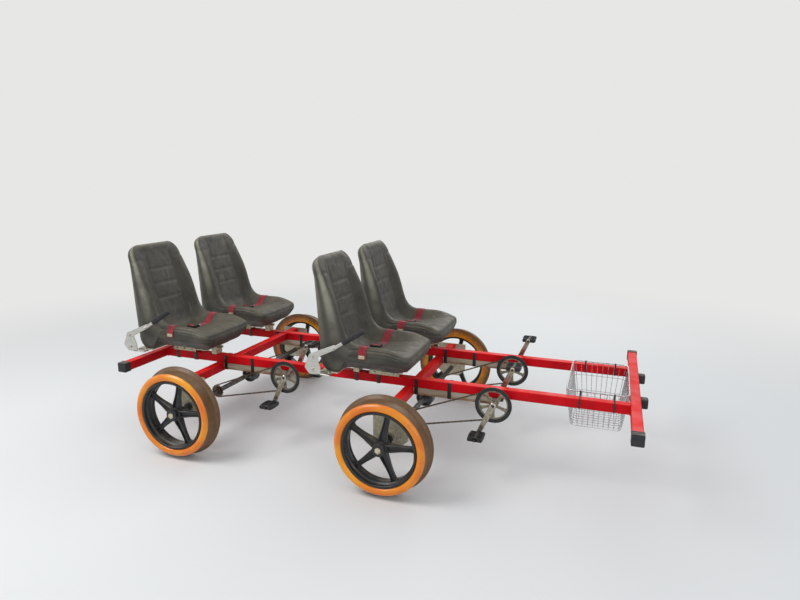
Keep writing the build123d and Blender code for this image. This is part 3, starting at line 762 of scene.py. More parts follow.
def spoke():
    """One spoke along x: an H section with a rail on each edge, wide at the hub and flared into the rim."""
    share = np.concatenate([np.linspace(0, 0.12, 4), np.linspace(0.2, 0.84, 9), np.linspace(0.9, 1, 5)])
    width = 0.0265 + 0.0145 * (1 - ramp(share, 0, 0.75)) + 0.016 * ramp(share, 0.86, 1) ** 2
    thick = 0.024 + 0.014 * (1 - ramp(share, 0, 0.5)) + 0.004 * ramp(share, 0.86, 1)
    lower = [(-1, -0.82), (-0.88, -1), (-0.58, -1), (-0.44, -0.42)]
    lower += [(-x, y) for x, y in reversed(lower)]
    unit = np.array(lower + [(-x, -y) for x, y in lower])
    section = unit[None] * np.stack([width, thick], axis=-1)[:, None] / 2
    path = level_run(hub_radius - 0.004, tyre_bore - 0.0178, wheel_width / 2, share)
    return carried(path, section, Y)


def wheel_centre():
    """Rim, hub and spokes of one wheel about z, from the flange's back outwards. A spoke points along x."""
    rim, hub = lathe(barrel_profile(), 96, True), lathe(hub_profile(), 48, True)
    return [rim, hub, around(spoke(), spoke_count)]


def axle_end():
    """Washer and nut on the axle's end, seen in the hub's mouth."""
    nut = skin(layers((circle(0.0165, 6), circle(0.0165, 6), circle(0.0142, 6)), (0, 0.008, 0.0095)))
    stub = lathe([(0.0090, 0), (0.0090, 0.0105), (0.0075, 0.0118)], 24)
    washer = lathe([(0.0225, -0.003), (0.0230, -0.0024), (0.0230, -0.0006), (0.0225, 0)], 32)
    return [nut, stub, washer]


def wheelset(row):
    """The two wheels of one axle."""
    body, nut_recess = f"{row}_axle", 0.0125
    centre = middle(body)
    flange_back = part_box(f"{row}_treads")[1].y - wheel_width
    for side, sign in sides:
        origin = centre + sign * flange_back * Y
        place = facing(origin, (0, sign, 0), leaning(spoke_turn))
        cast = moved(lathe(tyre_profile(), 128, True), place)
        tyre = piece(f"{row}_{side}_tyre", [cast], orange, [f"{row}_treads"], body, 40)
        mark(tyre, "soil", lambda points: soil_on_tyre(points, centre, origin, sign))
        mark(tyre, "out", lambda points: (points[:, 1] - origin[1]) * sign)
        centre_shells = placed(wheel_centre(), place)
        piece(f"{row}_{side}_wheel_centre", centre_shells, wheel_plastic, [f"{row}_wheels"], body)
        nut_place = facing(origin + sign * (wheel_width - nut_recess) * Y, (0, sign, 0), Z)
        piece(f"{row}_{side}_axle_nut", placed(axle_end(), nut_place), zinc, body=body)


def soil_on_tyre(points, centre, origin, sign):
    """Dirt: full on the tread and the flange's root, some on the flange's lip, none on the outer face."""
    radius = np.hypot(points[:, 0] - centre[0], points[:, 2] - centre[2])
    out = (points[:, 1] - origin[1]) * sign
    rolling = ramp(radius, tread_radius - 0.006, tread_radius - 0.001) * (1 - ramp(out, 0.078, 0.094))
    lip = 1 - ramp(out, 0.008, 0.016)
    return np.maximum(rolling * (1 - 0.30 * lip), 0.28 * (1 - ramp(out, 0.0, 0.02)))


# Axles

def pitch_radius(teeth):
    """Radius on which the chain's pins lie: half the pitch over the sine of half the tooth angle."""
    return chain_pitch / (2 * sin(pi / teeth))


def toothed(teeth):
    """Outline of a chain wheel: the root circle plus a tooth height times a power of a cosine."""
    angle = full_turn(teeth * 10)
    tooth = np.maximum(np.cos(teeth * angle), -0.2) * 0.5 + 0.5
    return polar(pitch_radius(teeth) - 0.0038 + 0.0072 * tooth**1.3, angle)


def axle_sprocket():
    """Sprocket about z with its clamped hub: a toothed plate, and a turned boss with a collar."""
    teeth, thickness = toothed(axle_teeth), 0.0024
    disc = shifted(ring(teeth, circle(0.020, len(teeth)), thickness), z=-thickness / 2)
    half = [(0.0152, -0.016), (0.024, -0.016), (0.0245, -0.015), (0.0245, -0.004), (0.0225, -0.003)]
    return [disc, lathe(both_halves(half), 40, True)]


def brake_drum():
    """Drum about z: a rim with raised edges, a recessed web on both sides and a hub."""
    half = [(0.0152, -0.025), (0.024, -0.025), (0.026, -0.012), (0.044, -0.010), (0.0465, -0.0245)]
    half += [(0.051, -0.025), (0.052, -0.024), (0.052, -0.020), (0.0505, -0.018)]
    return [lathe(both_halves(half), 64, True)]


def axle_line(row):
    """Shaft, sprockets, set collars and brake drum of one axle."""
    body, end_inset, collar_gap = f"{row}_axle", 0.010, 0.003
    centre = middle(body)
    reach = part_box(f"{row}_wheels")[1].y - end_inset
    shaft = [(0.0140, -reach), (0.0150, -reach + 0.001), (0.0150, reach - 0.001), (0.0140, reach)]
    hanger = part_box(f"{row}_hangers")[1].y
    collar = [(0.0152, 0), (0.0235, 0), (0.0245, 0.001), (0.0245, 0.011), (0.0235, 0.012), (0.0152, 0.012)]
    across = facing(centre, Y, Z)
    shells = [moved(lathe(shaft, 32), across)]
    for sign in signs:
        place = facing(centre + sign * (hanger + collar_gap) * Y, (0, sign, 0), Z)
        shells.append(moved(lathe(collar, 32, True), place))
    piece(f"{row}_axle_shaft", shells, dark_steel, [body], body)
    for side, sign in sides:
        place = facing(centre + (sign * beam_middle_y - ring_offset) * Y, Y, Z)
        shells = placed(axle_sprocket(), place)
        piece(f"{row}_{side}_axle_sprocket", shells, chain_steel, [body], body)
    piece(f"{row}_brake_drum", placed(brake_drum(), across), dark_steel, [body], body)


# Cranks, in a station's own axes: x forward, y left, z up, from the crank's axis at the beam's middle

def ring_at(shells, offset):
    """Shells about z laid square across the crank's axis, with their z to the right from an offset."""
    return placed(shells, facing((0, -offset, 0), (0, -1, 0), Z))


def chainring():
    """Toothed ring with a tab on its inner edge behind each of the spider's arms, one of which points
    straight down. The edge is a circle less a power of a cosine of the angle times the number of arms."""
    teeth = toothed(ring_teeth)
    angle = full_turn(len(teeth))
    inner = ring_inside + 0.001 - 0.007 * np.clip(-np.cos(spider_arms * angle), 0, 1) ** 6
    return ring_at([ring(teeth, polar(inner, angle), ring_thickness)], ring_offset - ring_thickness / 2)


def spider():
    """Boss and flared arms with a bolt at the end of each, and the flat ring that the guard is fixed to."""
    share = np.linspace(0, 1, 10)
    width = 0.0150 + 0.0040 * share**2 + 0.006 * ramp(share, 0.8, 1)
    size = np.stack([width, 0.0052 - 0.001 * share], axis=-1)
    section = rounded_box(1, 1, 0.25, 3)[None] * size[:, None]
    end, bolt_inset = ring_inside + 0.0015, 0.004
    path = level_run(0.012, end, 0.0048, share)
    shank = lathe([(0.0040, -0.0024), (0.0040, 0.0060)], 20)
    bolt = shifted(joined([shifted(dome_bolt(0.0048, 0.0024), z=0.0068), shank]), end - bolt_inset)
    arms = [around(shell, spider_arms, pi) for shell in (carried(path, section, Y), bolt)]
    boss = lathe([(0.0195, 0.0005), (0.0205, 0.0015), (0.0205, 0.0075), (0.0170, 0.0095)], 40)
    band = ring(circle(guard_inside + 0.001, 80), circle(ring_inside + 0.0005, 80), 0.0022)
    return ring_at([*arms, boss, shifted(band, z=0.0046)], ring_offset)


def guard():
    """Dished guard ring of black plastic with a rolled outer edge."""
    dish = 0.088
    profile = [(guard_inside, 0.0062), (guard_inside + 0.002, 0.0058), (dish, 0.0062)]
    profile += [(guard_radius - 0.002, 0.0060), (guard_radius, 0.0068), (guard_radius, 0.0084)]
    profile += [(guard_radius - 0.0022, 0.0094), (dish, 0.0086), (guard_inside + 0.002, 0.0080)]
    return ring_at([lathe(profile + [(guard_inside, 0.0074)], 96, True)], ring_offset)


def tapered_arm(length, root, tip):
    """Outline of a crank arm: a half circle at each end, joined by straight edges."""
    return np.vstack([arc((0, 0), root, 90, 270, 14), arc((length, 0), tip, -90, 90, 14)])


def crank_arm(angle, offset, outward):
    """Arm with a shallow raised panel, and the pedal's spindle with its hex flats."""
    place = facing((0, offset, 0), (0, outward, 0), leaning(angle))
    body = plate(tapered_arm(crank_length, 0.0165, 0.0125), arm_thickness, 0.0026)
    panel = plate(tapered_arm(crank_length - 0.052, 0.0088, 0.0062) + (0.026, 0), 0.0018, 0.0014)
    spindle = lathe([(0.0050, 0), (0.0050, 0.104), (0.0044, 0.1055)], 20)
    collar = lathe([(0.0072, 0), (0.0080, 0.001), (0.0080, 0.0035), (0.0062, 0.0050)], 6)
    fittings = [shifted(shell, crank_length, z=arm_thickness) for shell in (spindle, collar)]
    return placed([body, shifted(panel, z=arm_thickness - 0.0006)], place), placed(fittings, place)


def boss_ring(offset, outward):
    """Bright turned ring on the arm's root, round the dust cap."""
    profile = [(0.0084, 0), (0.0084, 0.0012), (0.0100, 0.0020)]
    profile += [(0.0132, 0.0018), (0.0150, 0.0004), (0.0150, 0)]
    place = facing((0, offset + outward * arm_thickness, 0), (0, outward, 0))
    return moved(lathe(profile, 40, True), place)


def crank_bolts(angle, offset, outward):
    """Black dust cap on the arm's root and the dark end of the pedal spindle in its eye."""
    cap = lathe([(0.0082, 0), (0.0082, 0.0012), (0.0066, 0.0022), (0.0062, 0.0010), (0.0030, 0.0010)], 28)
    eye = lathe([(0.0070, 0), (0.0070, 0.0006), (0.0050, 0.0008)], 24)
    outside = facing((0, offset + outward * arm_thickness, 0), (0, outward, 0), leaning(angle))
    inside = facing((0, offset, 0), (0, -outward, 0), leaning(angle))
    return [moved(cap, outside), moved(shifted(eye, crank_length), inside)]


def crank_spindle():
    """Spindle between the arms."""
    profile = [(0.0095, -0.064), (0.0100, -0.062), (0.0100, 0.056), (0.0095, 0.058)]
    return moved(lathe(profile, 28), facing((0, -0.002, 0), Y, Z))


# Each foot's arm: its angle, where it lies across the station, and which way is outward
feet = {"right": (crank_angle + 180, -right_arm_offset, -1), "left": (crank_angle, left_arm_offset, 1)}


def crank_station(row, side, place):
    """One station's crankset, placed by the matrix of its crank axis."""
    station = f"{row}_{side}"
    arms, steel, caps, rings = [], [crank_spindle()], [], []
    for foot in feet.values():
        arm, fittings = crank_arm(*foot)
        arms += arm
        steel += fittings
        caps += crank_bolts(*foot)
        rings.append(boss_ring(*foot[1:]))
    groups = (
        ("chainring", chainring(), chain_steel),
        # the spider's finish carries painted shade, darker than the arms' alloy
        ("spider", spider(), shaded_spider_alloy),
        ("chain_guard", guard(), black_plastic),
        ("crank_arms", arms, crank_alloy),
        ("crank_spindles", steel, dark_steel),
        ("crank_caps", caps, black_plastic),
        ("crank_rings", rings, bright_bolt),
    )
    node, body = [f"{station}_crankset"], f"{station}_crank"
    for name, shells, material in groups:
        piece(f"{station}_{name}", placed(shells, place), material, node, body)


# Pedals, about their own middle: x forward, y outward from the crank arm, z up

def toothed_rail(x, inward):
    """Rail along y, bowed a little, whose top and bottom rise and fall in blunt teeth for the sole."""
    length, height = pedal_size[1:]
    y = np.linspace(-length / 2 + 0.004, length / 2 - 0.004, 61)
    tooth = np.clip(np.sin(2 * pi * y / 0.0092) * 2.2, -1, 1)
    bow = 0.004 * (2 * y / length) ** 2
    half = height / 2 - 0.0014 + 0.0014 * tooth
    corners = ((0, 0.001 - half), (0, half - 0.001), (0.0012, half), (0.0055, half - 0.002),
               (0.0065, 0.004 + 0 * y), (0.0065, -0.004 + 0 * y), (0.0055, 0.002 - half), (0.0012, -half))
    lines = [np.stack([x + inward * (bow + inset), y, up], axis=-1) for inset, up in corners]
    return skin(np.stack(lines, axis=1))


def pedal_cage():
    """Cage of black plastic: two toothed rails, end plates, ribs and the barrel on the spindle."""
    half, out = pedal_size[0] / 2, pedal_size[1] / 2
    barrel = [(0.0056, -out), (0.0125, -out), (0.0135, -out + 0.002), (0.0135, -out + 0.014)]
    barrel += [(0.0105, -out + 0.020), (0.0100, out - 0.018), (0.0125, out - 0.012)]
    barrel += [(0.0125, out - 0.0015), (0.0110, out), (0.0056, out)]
    shells = [moved(lathe(barrel, 32, True), facing((0, 0, 0), Y, Z))]
    shells += [toothed_rail(half, -1), toothed_rail(-half, 1)]
    end = plate(rounded_box(2 * half - 0.002, 0.021, 0.006, 5), 0.0045, 0.0012)
    shells += [moved(end, facing((0, sign * out, 0), (0, -sign, 0))) for sign in signs]
    rib_width, rib_height = 0.0044, 0.016
    for y in (-0.022, 0.0, 0.022):
        for sign in signs:
            low, high = sorted((sign * 0.0095, sign * (half - 0.004)))
            lower = (low, y - rib_width / 2, -rib_height / 2)
            upper = (high, y + rib_width / 2, rib_height / 2)
            shells.append(block(lower, upper, 0.001))
    return shells


def pedals(row, side, place):
    """Both pedals of a station, each riding on its own body."""
    gap = 0.006
    for foot, (angle, offset, outward) in feet.items():
        y = offset + outward * (arm_thickness + gap + pedal_size[1] / 2)
        spot = facing(crank_length * leaning(angle) + y * Y, Z, X) @ np.diag((1.0, outward, 1.0, 1.0))
        name = f"{row}_{side}_{foot}_pedal"
        piece(f"{name}_cage", placed(pedal_cage(), place @ spot), black_plastic, [name], name)


# Chains

def chain_line(count):
    """Pins round the loop at equal distances: a straight run tangent to both pitch circles, the arc round
    the chainring, the run back and the arc round the sprocket. Returns x and z from the axle, and the
    angle that the chain runs at."""
    small, large = pitch_radius(axle_teeth), pitch_radius(ring_teeth)
    ahead, rise = (crank_axis("front", "right") - middle("front_axle"))[[0, 2]]
    centres, lean = hypot(ahead, rise), atan2(rise, ahead)
    tilt = np.arcsin((large - small) / centres)
    run = centres * np.cos(tilt)
    ends = np.cumsum([0, run, large * (pi + 2 * tilt), run, small * (pi - 2 * tilt)])
    distance = ends[-1] * (np.arange(count) + 0.5) / count
    part = np.searchsorted(ends, distance, side="right") - 1
    gone = distance - ends[part]
    bent = part % 2
    radius = np.choose(part, (small, large, large, small))
    turn = np.where(part < 2, 1, -1) * (pi / 2 + tilt) - bent * gone / radius
    angle = turn - pi / 2
    straight = (1 - bent) * gone
    x = centres * ((part == 1) | (part == 2)) + radius * np.cos(turn) + straight * np.cos(angle)
    z = radius * np.sin(turn) + straight * np.sin(angle)
    return x * cos(lean) - z * sin(lean), x * sin(lean) + z * cos(lean), angle + lean


def link(inner):
    """One link along x: two waisted plates, a roller and a pin, with few faces as there are many links."""
    side_y, thickness, waist = 0.0026 if inner else 0.0036, 0.0008, 0.0030
    left = arc((-chain_pitch / 2, 0), 0.0041, 90, 270, 5)
    outline = np.vstack([left, [(0, -waist)], -left, [(0, waist)]])
    plates = [bar(outline, y, y + thickness) for y in (-side_y, side_y - thickness)]
    roller, pin = bar(circle(0.0038, 8), -0.0026, 0.0026), bar(circle(0.0017, 6), -0.0040, 0.0040)
    return joined(plates + [shifted(shell, -chain_pitch / 2) for shell in (roller, pin)])


def crank_axis(row, side):
    """Place of a crank's axis at its beam's middle, from its joint."""
    wanted = f"{row}_{side}_crank_spin"
    return np.array(next(joint["pos_m"] for joint in frame["joints"] if joint["name"] == wanted))


def chain(row, side):
    """Roller chain of one station, of inner and outer links in turn. It stays with the frame."""
    origin = middle(f"{row}_axle") * (1, 0, 1) + (crank_axis(row, side)[1] - ring_offset) * Y
    places = [
        facing(origin + x * X + z * Z, (0, -1, 0), (cos(turn), 0, sin(turn)))
        for x, z, turn in zip(*chain_line(chain_links))
    ]
    shells = [copies(link(inner), places[start::2]) for start, inner in ((0, True), (1, False))]
    piece(f"{row}_{side}_chain", shells, chain_steel, ["chains"])


# Seats

# Lines from the nose to the top, as (forward, up): middle of the seating face, crest of the wings, the rear
seat_nose, seat_peak = (0.4285, 0.088), (-0.103, 0.6115)
face_points = (
    seat_nose, (0.420, 0.112), (0.385, 0.1235), (0.26, 0.111), (0.14, 0.099), (0.082, 0.110),
    (0.050, 0.148), (0.034, 0.190), (0.000, 0.300), (-0.0285, 0.400), (-0.0573, 0.500), (-0.077, 0.568),
    (-0.088, 0.600), seat_peak,
)
wing_points = (
    seat_nose, (0.420, 0.114), (0.388, 0.127), (0.345, 0.142), (0.300, 0.151), (0.220, 0.153),
    (0.150, 0.154), (0.105, 0.167), (0.072, 0.200), (0.050, 0.252), (0.030, 0.320), (0.003, 0.400),
    (-0.026, 0.466), (-0.056, 0.530), (-0.080, 0.577), seat_peak,
)
rear_points = (
    seat_nose, (0.424, 0.060), (0.405, 0.030), (0.355, 0.008), (0.24, 0.003), (0.10, 0.001), (0.01, 0.0005),
    (-0.045, 0.002), (-0.075, 0.024), (-0.087, 0.085), (-0.0925, 0.17), (-0.1045, 0.34), (-0.118, 0.49),
    (-0.1265, 0.585), seat_peak,
)
side_lift, heel_ahead = 0.066, 0.050


def edge_steps(edge, fine, coarse):
    """Shares from 0 to 1 that crowd towards both ends, where the shell is rounded over."""
    near = edge * (1 - np.cos(np.linspace(0, pi / 2, fine)))
    return np.concatenate([near[:-1], np.linspace(edge, 1 - edge, coarse), 1 - near[-2::-1]])


def rounding(share, edge, power):
    """How full the shell is at a share of its width: 1 inside, a quarter superellipse in its edge zone."""
    near = np.clip(1 - np.minimum(share, 1 - share) / edge, 0, 1)
    return (1 - near**power) ** (1 / power)


def corner(share, edge, radius):
    """How far the outline is drawn in at a share of the length: a quarter ellipse over the edge zone."""
    near = 1 - np.clip(share / edge, 0, 1)
    return radius * (1 - np.sqrt(1 - near**2))


def groove(value, place, width):
    """Bell-shaped groove round a place."""
    return np.exp(-(((value - place) / width) ** 2))


def seat_grid(lengths, widths):
    """Seating face and rear face on a grid of shares. A point of either line is placed across by the half
    width at that length. The seating face turns from its middle line into the wing line near the sides.
    The underside rises towards the sides ahead of the heel, and the back's rear is hollowed. Both faces
    close at the rim, half way between them, and pleats are pressed in along the line between the faces."""
    across = 2 * widths - 1
    side = np.abs(across)[None]
    along = lengths[:, None]
    blend = ramp(side, 0.50, 0.84)[..., None]
    middle_line, wing_line = (through(points, lengths)[:, None] for points in (face_points, wing_points))
    face = middle_line * (1 - blend) + wing_line * blend
    rear = through(rear_points, lengths)[:, None] + 0 * blend
    hollow = 0.020 * ramp(along, 0.56, 0.66) * (1 - ramp(along, 0.86, 0.95)) * (1 - ramp(side, 0.50, 0.74))
    lift = side_lift * ramp(side, 0.42, 1.02) * ramp(rear[..., 0], heel_ahead - 0.020, heel_ahead + 0.012)
    under = 1 - ramp(along, 0.44, 0.46)
    rear = np.stack([rear[..., 0] + hollow, (rear[..., 1] ** 4 + (lift * under) ** 4) ** 0.25], axis=-1)
    ends = rounding(along, 0.030, 2.2)
    full_face = rounding(widths[None], 0.055, 2.6) * ends
    full_rear = rounding(widths[None], 0.055 + 0.105 * ramp(along, 0.40, 0.52), 2.3) * ends
    seam = groove(side, 0.50, 0.018) * ramp(along, 0.05, 0.10) * (1 - ramp(along, 0.90, 0.95))
    pleats = sum(groove(along, place, 0.0055) for place in (0.62, 0.72, 0.82))
    pleats = pleats * (1 - ramp(side, 0.44, 0.50))
    step = groove(along, 0.885, 0.006) * ramp(side, 0.60, 0.75)
    pressed = 0.0055 * np.maximum(np.maximum(seam, pleats), 0.8 * step)[..., None]
    core, thick = (face + rear) / 2, (face - rear) / 2
    inward = thick / np.maximum(np.linalg.norm(thick, axis=-1, keepdims=True), 1e-6)
    face = core + thick * full_face[..., None] - inward * pressed
    rear = core - thick * full_rear[..., None]
    half = seat_half_width - corner(along, 0.085, 0.075) - corner(1 - along, 0.085, 0.070)
    half = half - (seat_half_width - seat_top_half) * ramp(along, 0.62, 1.0)
    fade = 0.0048 * (side > 0.86) * ramp(along, 0.04, 0.10) * (1 - ramp(along, 0.40, 0.48))
    y_face = across[None] * (half - fade * (groove(full_face, 0.30, 0.05) + groove(full_face, 0.66, 0.05)))
    y_rear = across[None] * half
    face = np.stack([face[..., 0], y_face, face[..., 1]], axis=-1)
    rear = np.stack([rear[..., 0], y_rear, rear[..., 1]], axis=-1)
    return face, rear, full_face, full_rear


def seat(row, side):
    """One moulded seat, with its rim marked for bleaching and a painted rim highlight."""
    name = f"{row}_{side}_seat"
    low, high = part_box(name)
    origin = np.array((high.x - seat_length, (low.y + high.y) / 2, low.z))
    lengths, widths = edge_steps(0.03, 7, 96), edge_steps(0.080, 25, 44)
    face, rear, full_face, full_rear = seat_grid(lengths, widths)
    shells = [skin(surface + origin, loop_columns=False) for surface in (face, rear)]
    shell = piece(f"{name}_shell", shells, skin_of_seat, [name], sharp=60)
    # rim marks, partly bleaching and partly a painted rim highlight, weaker on the rear face
    worn = [rim_bleach_and_highlight(face, full_face), 0.7 * rim_bleach_and_highlight(rear, full_rear)]
    mark(shell, "edge", lambda points: np.concatenate(worn))
    close_rim(shell)
    return origin


def rim_bleach_and_highlight(surface, full):
    """Bleaching and a painted rim highlight: along the rims, strong high up and weak on the pan."""
    height = 0.25 + 0.75 * ramp(surface[..., 2], 0.16, 0.45)
    return (ramp(1 - full, 0.02, 0.35) * (1 - ramp(1 - full, 0.55, 0.95)) * height).reshape(-1)


def close_rim(made):
    """Joins the two faces where their rims meet, and turns all normals outwards."""
    shape = bmesh.new()
    shape.from_mesh(made.data)
    bmesh.ops.remove_doubles(shape, verts=shape.verts, dist=0.00002)
    bmesh.ops.dissolve_degenerate(shape, edges=shape.edges, dist=0.00001)
    bmesh.ops.recalc_face_normals(shape, faces=shape.faces)
    shape.to_mesh(made.data)
    shape.free()


# Belts

def belt_line(count):
    """Line of the strap over the seat, across its width at one distance from the pan's back edge: up the
    side from its anchor, over the wings and down across the pan."""
    lengths = np.linspace(0.06, 0.42, 240)
    widths = np.linspace(0.012, 0.988, count)
    face = seat_grid(lengths, widths)[0]
    nearest = np.argmin(np.abs(face[..., 0] - belt_ahead), axis=0)
    return face[nearest, np.arange(count)][:, 1:]


def belt(row, side, origin):
    """Red lap belt lying in the seat: a strap carried along its line, with its buckle and anchors."""
    clear = 0.0022
    over = belt_line(61) + (0, clear)
    edge = seat_half_width + clear
    ends = [np.array([(sign * edge, up) for up in (0.092, 0.108, 0.124)]) for sign in signs]
    line = through(np.vstack([ends[0], over[2:-2], ends[1][::-1]]), np.linspace(0, 1, 121))
    path = origin + np.column_stack([np.full(len(line), belt_ahead), line])
    sway = 0.004 * np.sin(np.linspace(0, 3 * pi, len(path)))
    path = path + sway[:, None] * X
    width = np.linspace(-0.5, 0.5, 9)
    upper = np.stack([width, 0.5 + 0 * width], -1)
    section = np.concatenate([upper, -upper]) * (belt_width, 0.0026)
    shell = carried(path, section, X)
    strap = piece(f"{row}_{side}_lap_belt", [shell], red_webbing, ["lap_belts"], sharp=60)
    mark(strap, "across", lambda at: at[:, 0])
    mark(strap, "along", lambda at: at[:, 1] + at[:, 2])
    belt_buckle(row, side, path[len(path) // 2])
    belt_anchors(row, side, origin)


def belt_buckle(row, side, at):
    """Push-button buckle in the middle of the pan: a rounded case, its button and the steel tongue."""
    case = block((-0.028, -0.034, 0.002), (0.028, 0.020, 0.018), 0.004)
    button = block((-0.020, -0.030, 0.0165), (0.020, -0.018, 0.0198), 0.0015)
    tongue = block((-0.020, 0.018, 0.0075), (0.020, 0.044, 0.0100), 0.001)
    parts = (
        ("buckle", case, black_plastic),
        ("button", button, red_plastic),
        ("tongue", tongue, bright_bolt),
    )
    for name, shell, material in parts:
        piece(f"{row}_{side}_belt_{name}", [shifted(shell, *at)], material)


def belt_anchors(row, side, origin):
    """Bolt through each end of the strap into the side of the pan, on a rounded steel plate."""
    washer = plate(rounded_box(0.034, 0.018, 0.004), 0.0016, 0.0004)
    fixing = joined([washer, shifted(dome_bolt(0.0055, 0.0032), z=0.0015)])
    aside, above = seat_half_width + 0.0034, 0.104
    spots = [origin + (belt_ahead, sign * aside, above) for sign in signs]
    fixings = [moved(fixing, facing(spot, (0, sign, 0), X)) for spot, sign in zip(spots, signs)]
    piece(f"{row}_{side}_belt_anchors", fixings, zinc)


# Brake levers, in axes from the back edge of the seat's pan and the top of the lever's foot

lever_outline = ((-0.119, -0.005), (-0.051, -0.005), (-0.051, 0.032), (-0.071, 0.088), (0.041, 0.149),
                 (0.034, 0.170), (-0.118, 0.105), (-0.147, 0.030))
lever_bar = ((-0.110, 0.086), (-0.092, 0.080), (0.042, 0.146), (0.034, 0.162), (-0.106, 0.098))
lever_thickness, bar_thickness, foot_thickness = 0.005, 0.0035, 0.006
lever_tilt, neck_ahead, neck_above, neck_length = 33, 0.026, 0.148, 0.070
bar_room, grip_start, grip_length = 0.004, 0.064, 0.140


def grip():
    """Moulded grip along z with finger waves: a rounded section whose size swells and shrinks along it."""
    z = np.linspace(0, 1, 41)
    swell = 0.94 + 0.06 * np.cos(2 * pi * z * 4.5) * ramp(z, 0.04, 0.12) * (1 - ramp(z, 0.86, 0.95))
    rounded_end = np.sqrt(np.clip(1 - ((z - 0.95) / 0.053).clip(0, 1) ** 2, 0.02, 1))
    size = swell * rounded_end * (0.86 + 0.14 * ramp(z, 0, 0.03))
    section = rounded_box(0.026, 0.030, 0.012, 6)[None] * size[:, None, None]
    return carried(np.stack([0 * z, 0 * z, grip_length * z], -1), section, X)


def brake_lever(row):
    """Lever beside the right-hand seat: plate on a bolted foot, flat bar, neck and grip. The origin is on
    the plate's inner face, and z of the side frame points out to the right."""
    node = f"{row}_brake_lever"
    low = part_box(node)[0]
    pan_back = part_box(f"{row}_right_seat")[1].x - seat_length
    origin = np.array((pan_back, low.y + bar_room + lever_thickness, low.z + foot_thickness))
    side_frame = facing(origin, (0, -1, 0), X)
    side_plate = plate(softened(lever_outline, 0.007), lever_thickness)
    flat_bar = shifted(plate(softened(lever_bar, 0.006), bar_thickness), z=lever_thickness)
    foot = block((-0.080, -lever_thickness, -foot_thickness), (0.0, 0.055, 0.0), 0.001)
    way = leaning(lever_tilt)
    neck_start = origin + (neck_ahead, -lever_thickness / 2, neck_above)
    neck_path = neck_start + np.linspace(0, neck_length, 8)[:, None] * way
    neck = carried(neck_path, rounded_box(0.010, 0.018, 0.003), Y)
    shells = [*placed([side_plate, flat_bar], side_frame), shifted(foot, *origin), neck]
    piece(f"{row}_lever_plates", shells, aluminium, [node])
    handle = moved(grip(), facing(neck_start + grip_start * way, way, Y))
    piece(f"{row}_lever_grip", [handle], black_rubber, [node], sharp=50)
    through_bar = lever_thickness + bar_thickness
    spots = ((-0.098, 0.091, through_bar), (0.026, 0.147, through_bar), (-0.098, 0.020, lever_thickness))
    bolts = [moved(shifted(hex_bolt(), *spot), side_frame) for spot in spots]
    bolts += [shifted(hex_bolt(), *(origin + (x, 0.030, 0))) for x in (-0.062, -0.018)]
    piece(f"{row}_lever_bolts", bolts, bright_bolt)


# Basket

def basket_wires():
    """Bent wires along and across, horizontal hoops, and a thicker rim, all with eased corners."""
    low, high = (np.array(corner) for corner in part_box("basket"))
    half = (high - low)[:2] / 2 - basket_rim
    centre = (low + high) / 2
    rim_z = high[2] - basket_rim
    shells = [hoop(centre, half, rim_z, basket_rim, 10)]
    for share in hoop_shares:
        inner, z = half - basket_taper * share, rim_z - basket_drop * share
        shells.append(hoop(centre, inner, z, basket_wire, 6))
    for axis, spacing in enumerate(wire_spacings):
        shells += bent_wires((*centre[:2], rim_z), half, axis, spacing)
    return shells


def hoop(centre, half, z, radius, count):
    """Wire loop round the basket at one height."""
    line = rounded_box(2 * half[0], 2 * half[1], 0.042, 8) + centre[:2]
    path = np.column_stack([line, np.full(len(line), z)])
    return carried(path, circle(radius, count), Z, loop=True)


def bent_wires(rim_centre, half, axis, spacing):
    """Wires bent down one side, across the floor and up the other, standing side by side at a spacing. The
    second layer lies on the first."""
    run, other = half[axis], 1 - axis
    spread = half[other] - 0.012
    floor_run, floor_z = run - basket_taper, 2 * basket_wire * axis - basket_drop
    shells = []
    for share in np.linspace(-1, 1, int(2 * spread / spacing)):
        top, foot = share * spread, share * (half[other] - basket_taper - 0.008)
        line = [(-run, top, 0), (-floor_run, foot, floor_z), (floor_run, foot, floor_z), (run, top, 0)]
        path = softened(line, 0.020, 7, closed=False)
        if axis:
            path = path[:, [1, 0, 2]]
        shells.append(carried(path + rim_centre, circle(basket_wire, 6), np.eye(3)[other]))
    return shells


# Frame fittings

def end_cap(x, sign):
    """Square plastic cap over a tube's end: a long sleeve with a bead at its mouth and a crowned face."""
    sizes = (0.0530, 0.0570, 0.0574, 0.0574, 0.0562, 0.0560, 0.0564, 0.0562, 0.0540, 0.0460, 0.0200)
    heights = (0, 0.0003, 0.0010, 0.0034, 0.0046, 0.0200, 0.0370, 0.0388, 0.0408, 0.0417, 0.0420)
    mouth = sign * (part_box("end_caps")[1].y - heights[-1])
    return moved(stacked_squares(sizes, heights, 0.006, 5), facing((x, mouth, beam_z), (0, sign, 0)))


def buffer_block(y):
    """Square rubber buffer with a rounded nose."""
    low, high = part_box("buffers")
    depth = high.x - low.x
    sizes = (0.0500, 0.0500, 0.0490, 0.0462, 0.0410, 0.0300)
    heights = (0, depth - 0.010, depth - 0.0055, depth - 0.0022, depth - 0.0004, depth)
    return moved(stacked_squares(sizes, heights, 0.008, 6), facing((low.x, y, beam_z), X, Y))


def dress_frame():
    """Caps, buffers, welds and bolts of the frame."""
    bumpers = [middle(name)[0] for name in ("front_bumper", "rear_bumper")]
    caps = [end_cap(x, sign) for x in bumpers for sign in signs]
    piece("bumper_caps", caps, black_plastic, ["end_caps"])
    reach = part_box("buffers")[1].y - tube_side / 2
    buffers = [buffer_block(sign * reach) for sign in signs]
    piece("rubber_buffers", buffers, black_rubber, ["buffers"])
    welds()
    hanger_bolts()
    straps()
    rail_bolts()


def square_seam(half):
    """Corners of a closed square seam round a tube."""
    return ((-half, -half), (half, -half), (half, half), (-half, half), (-half, -half))


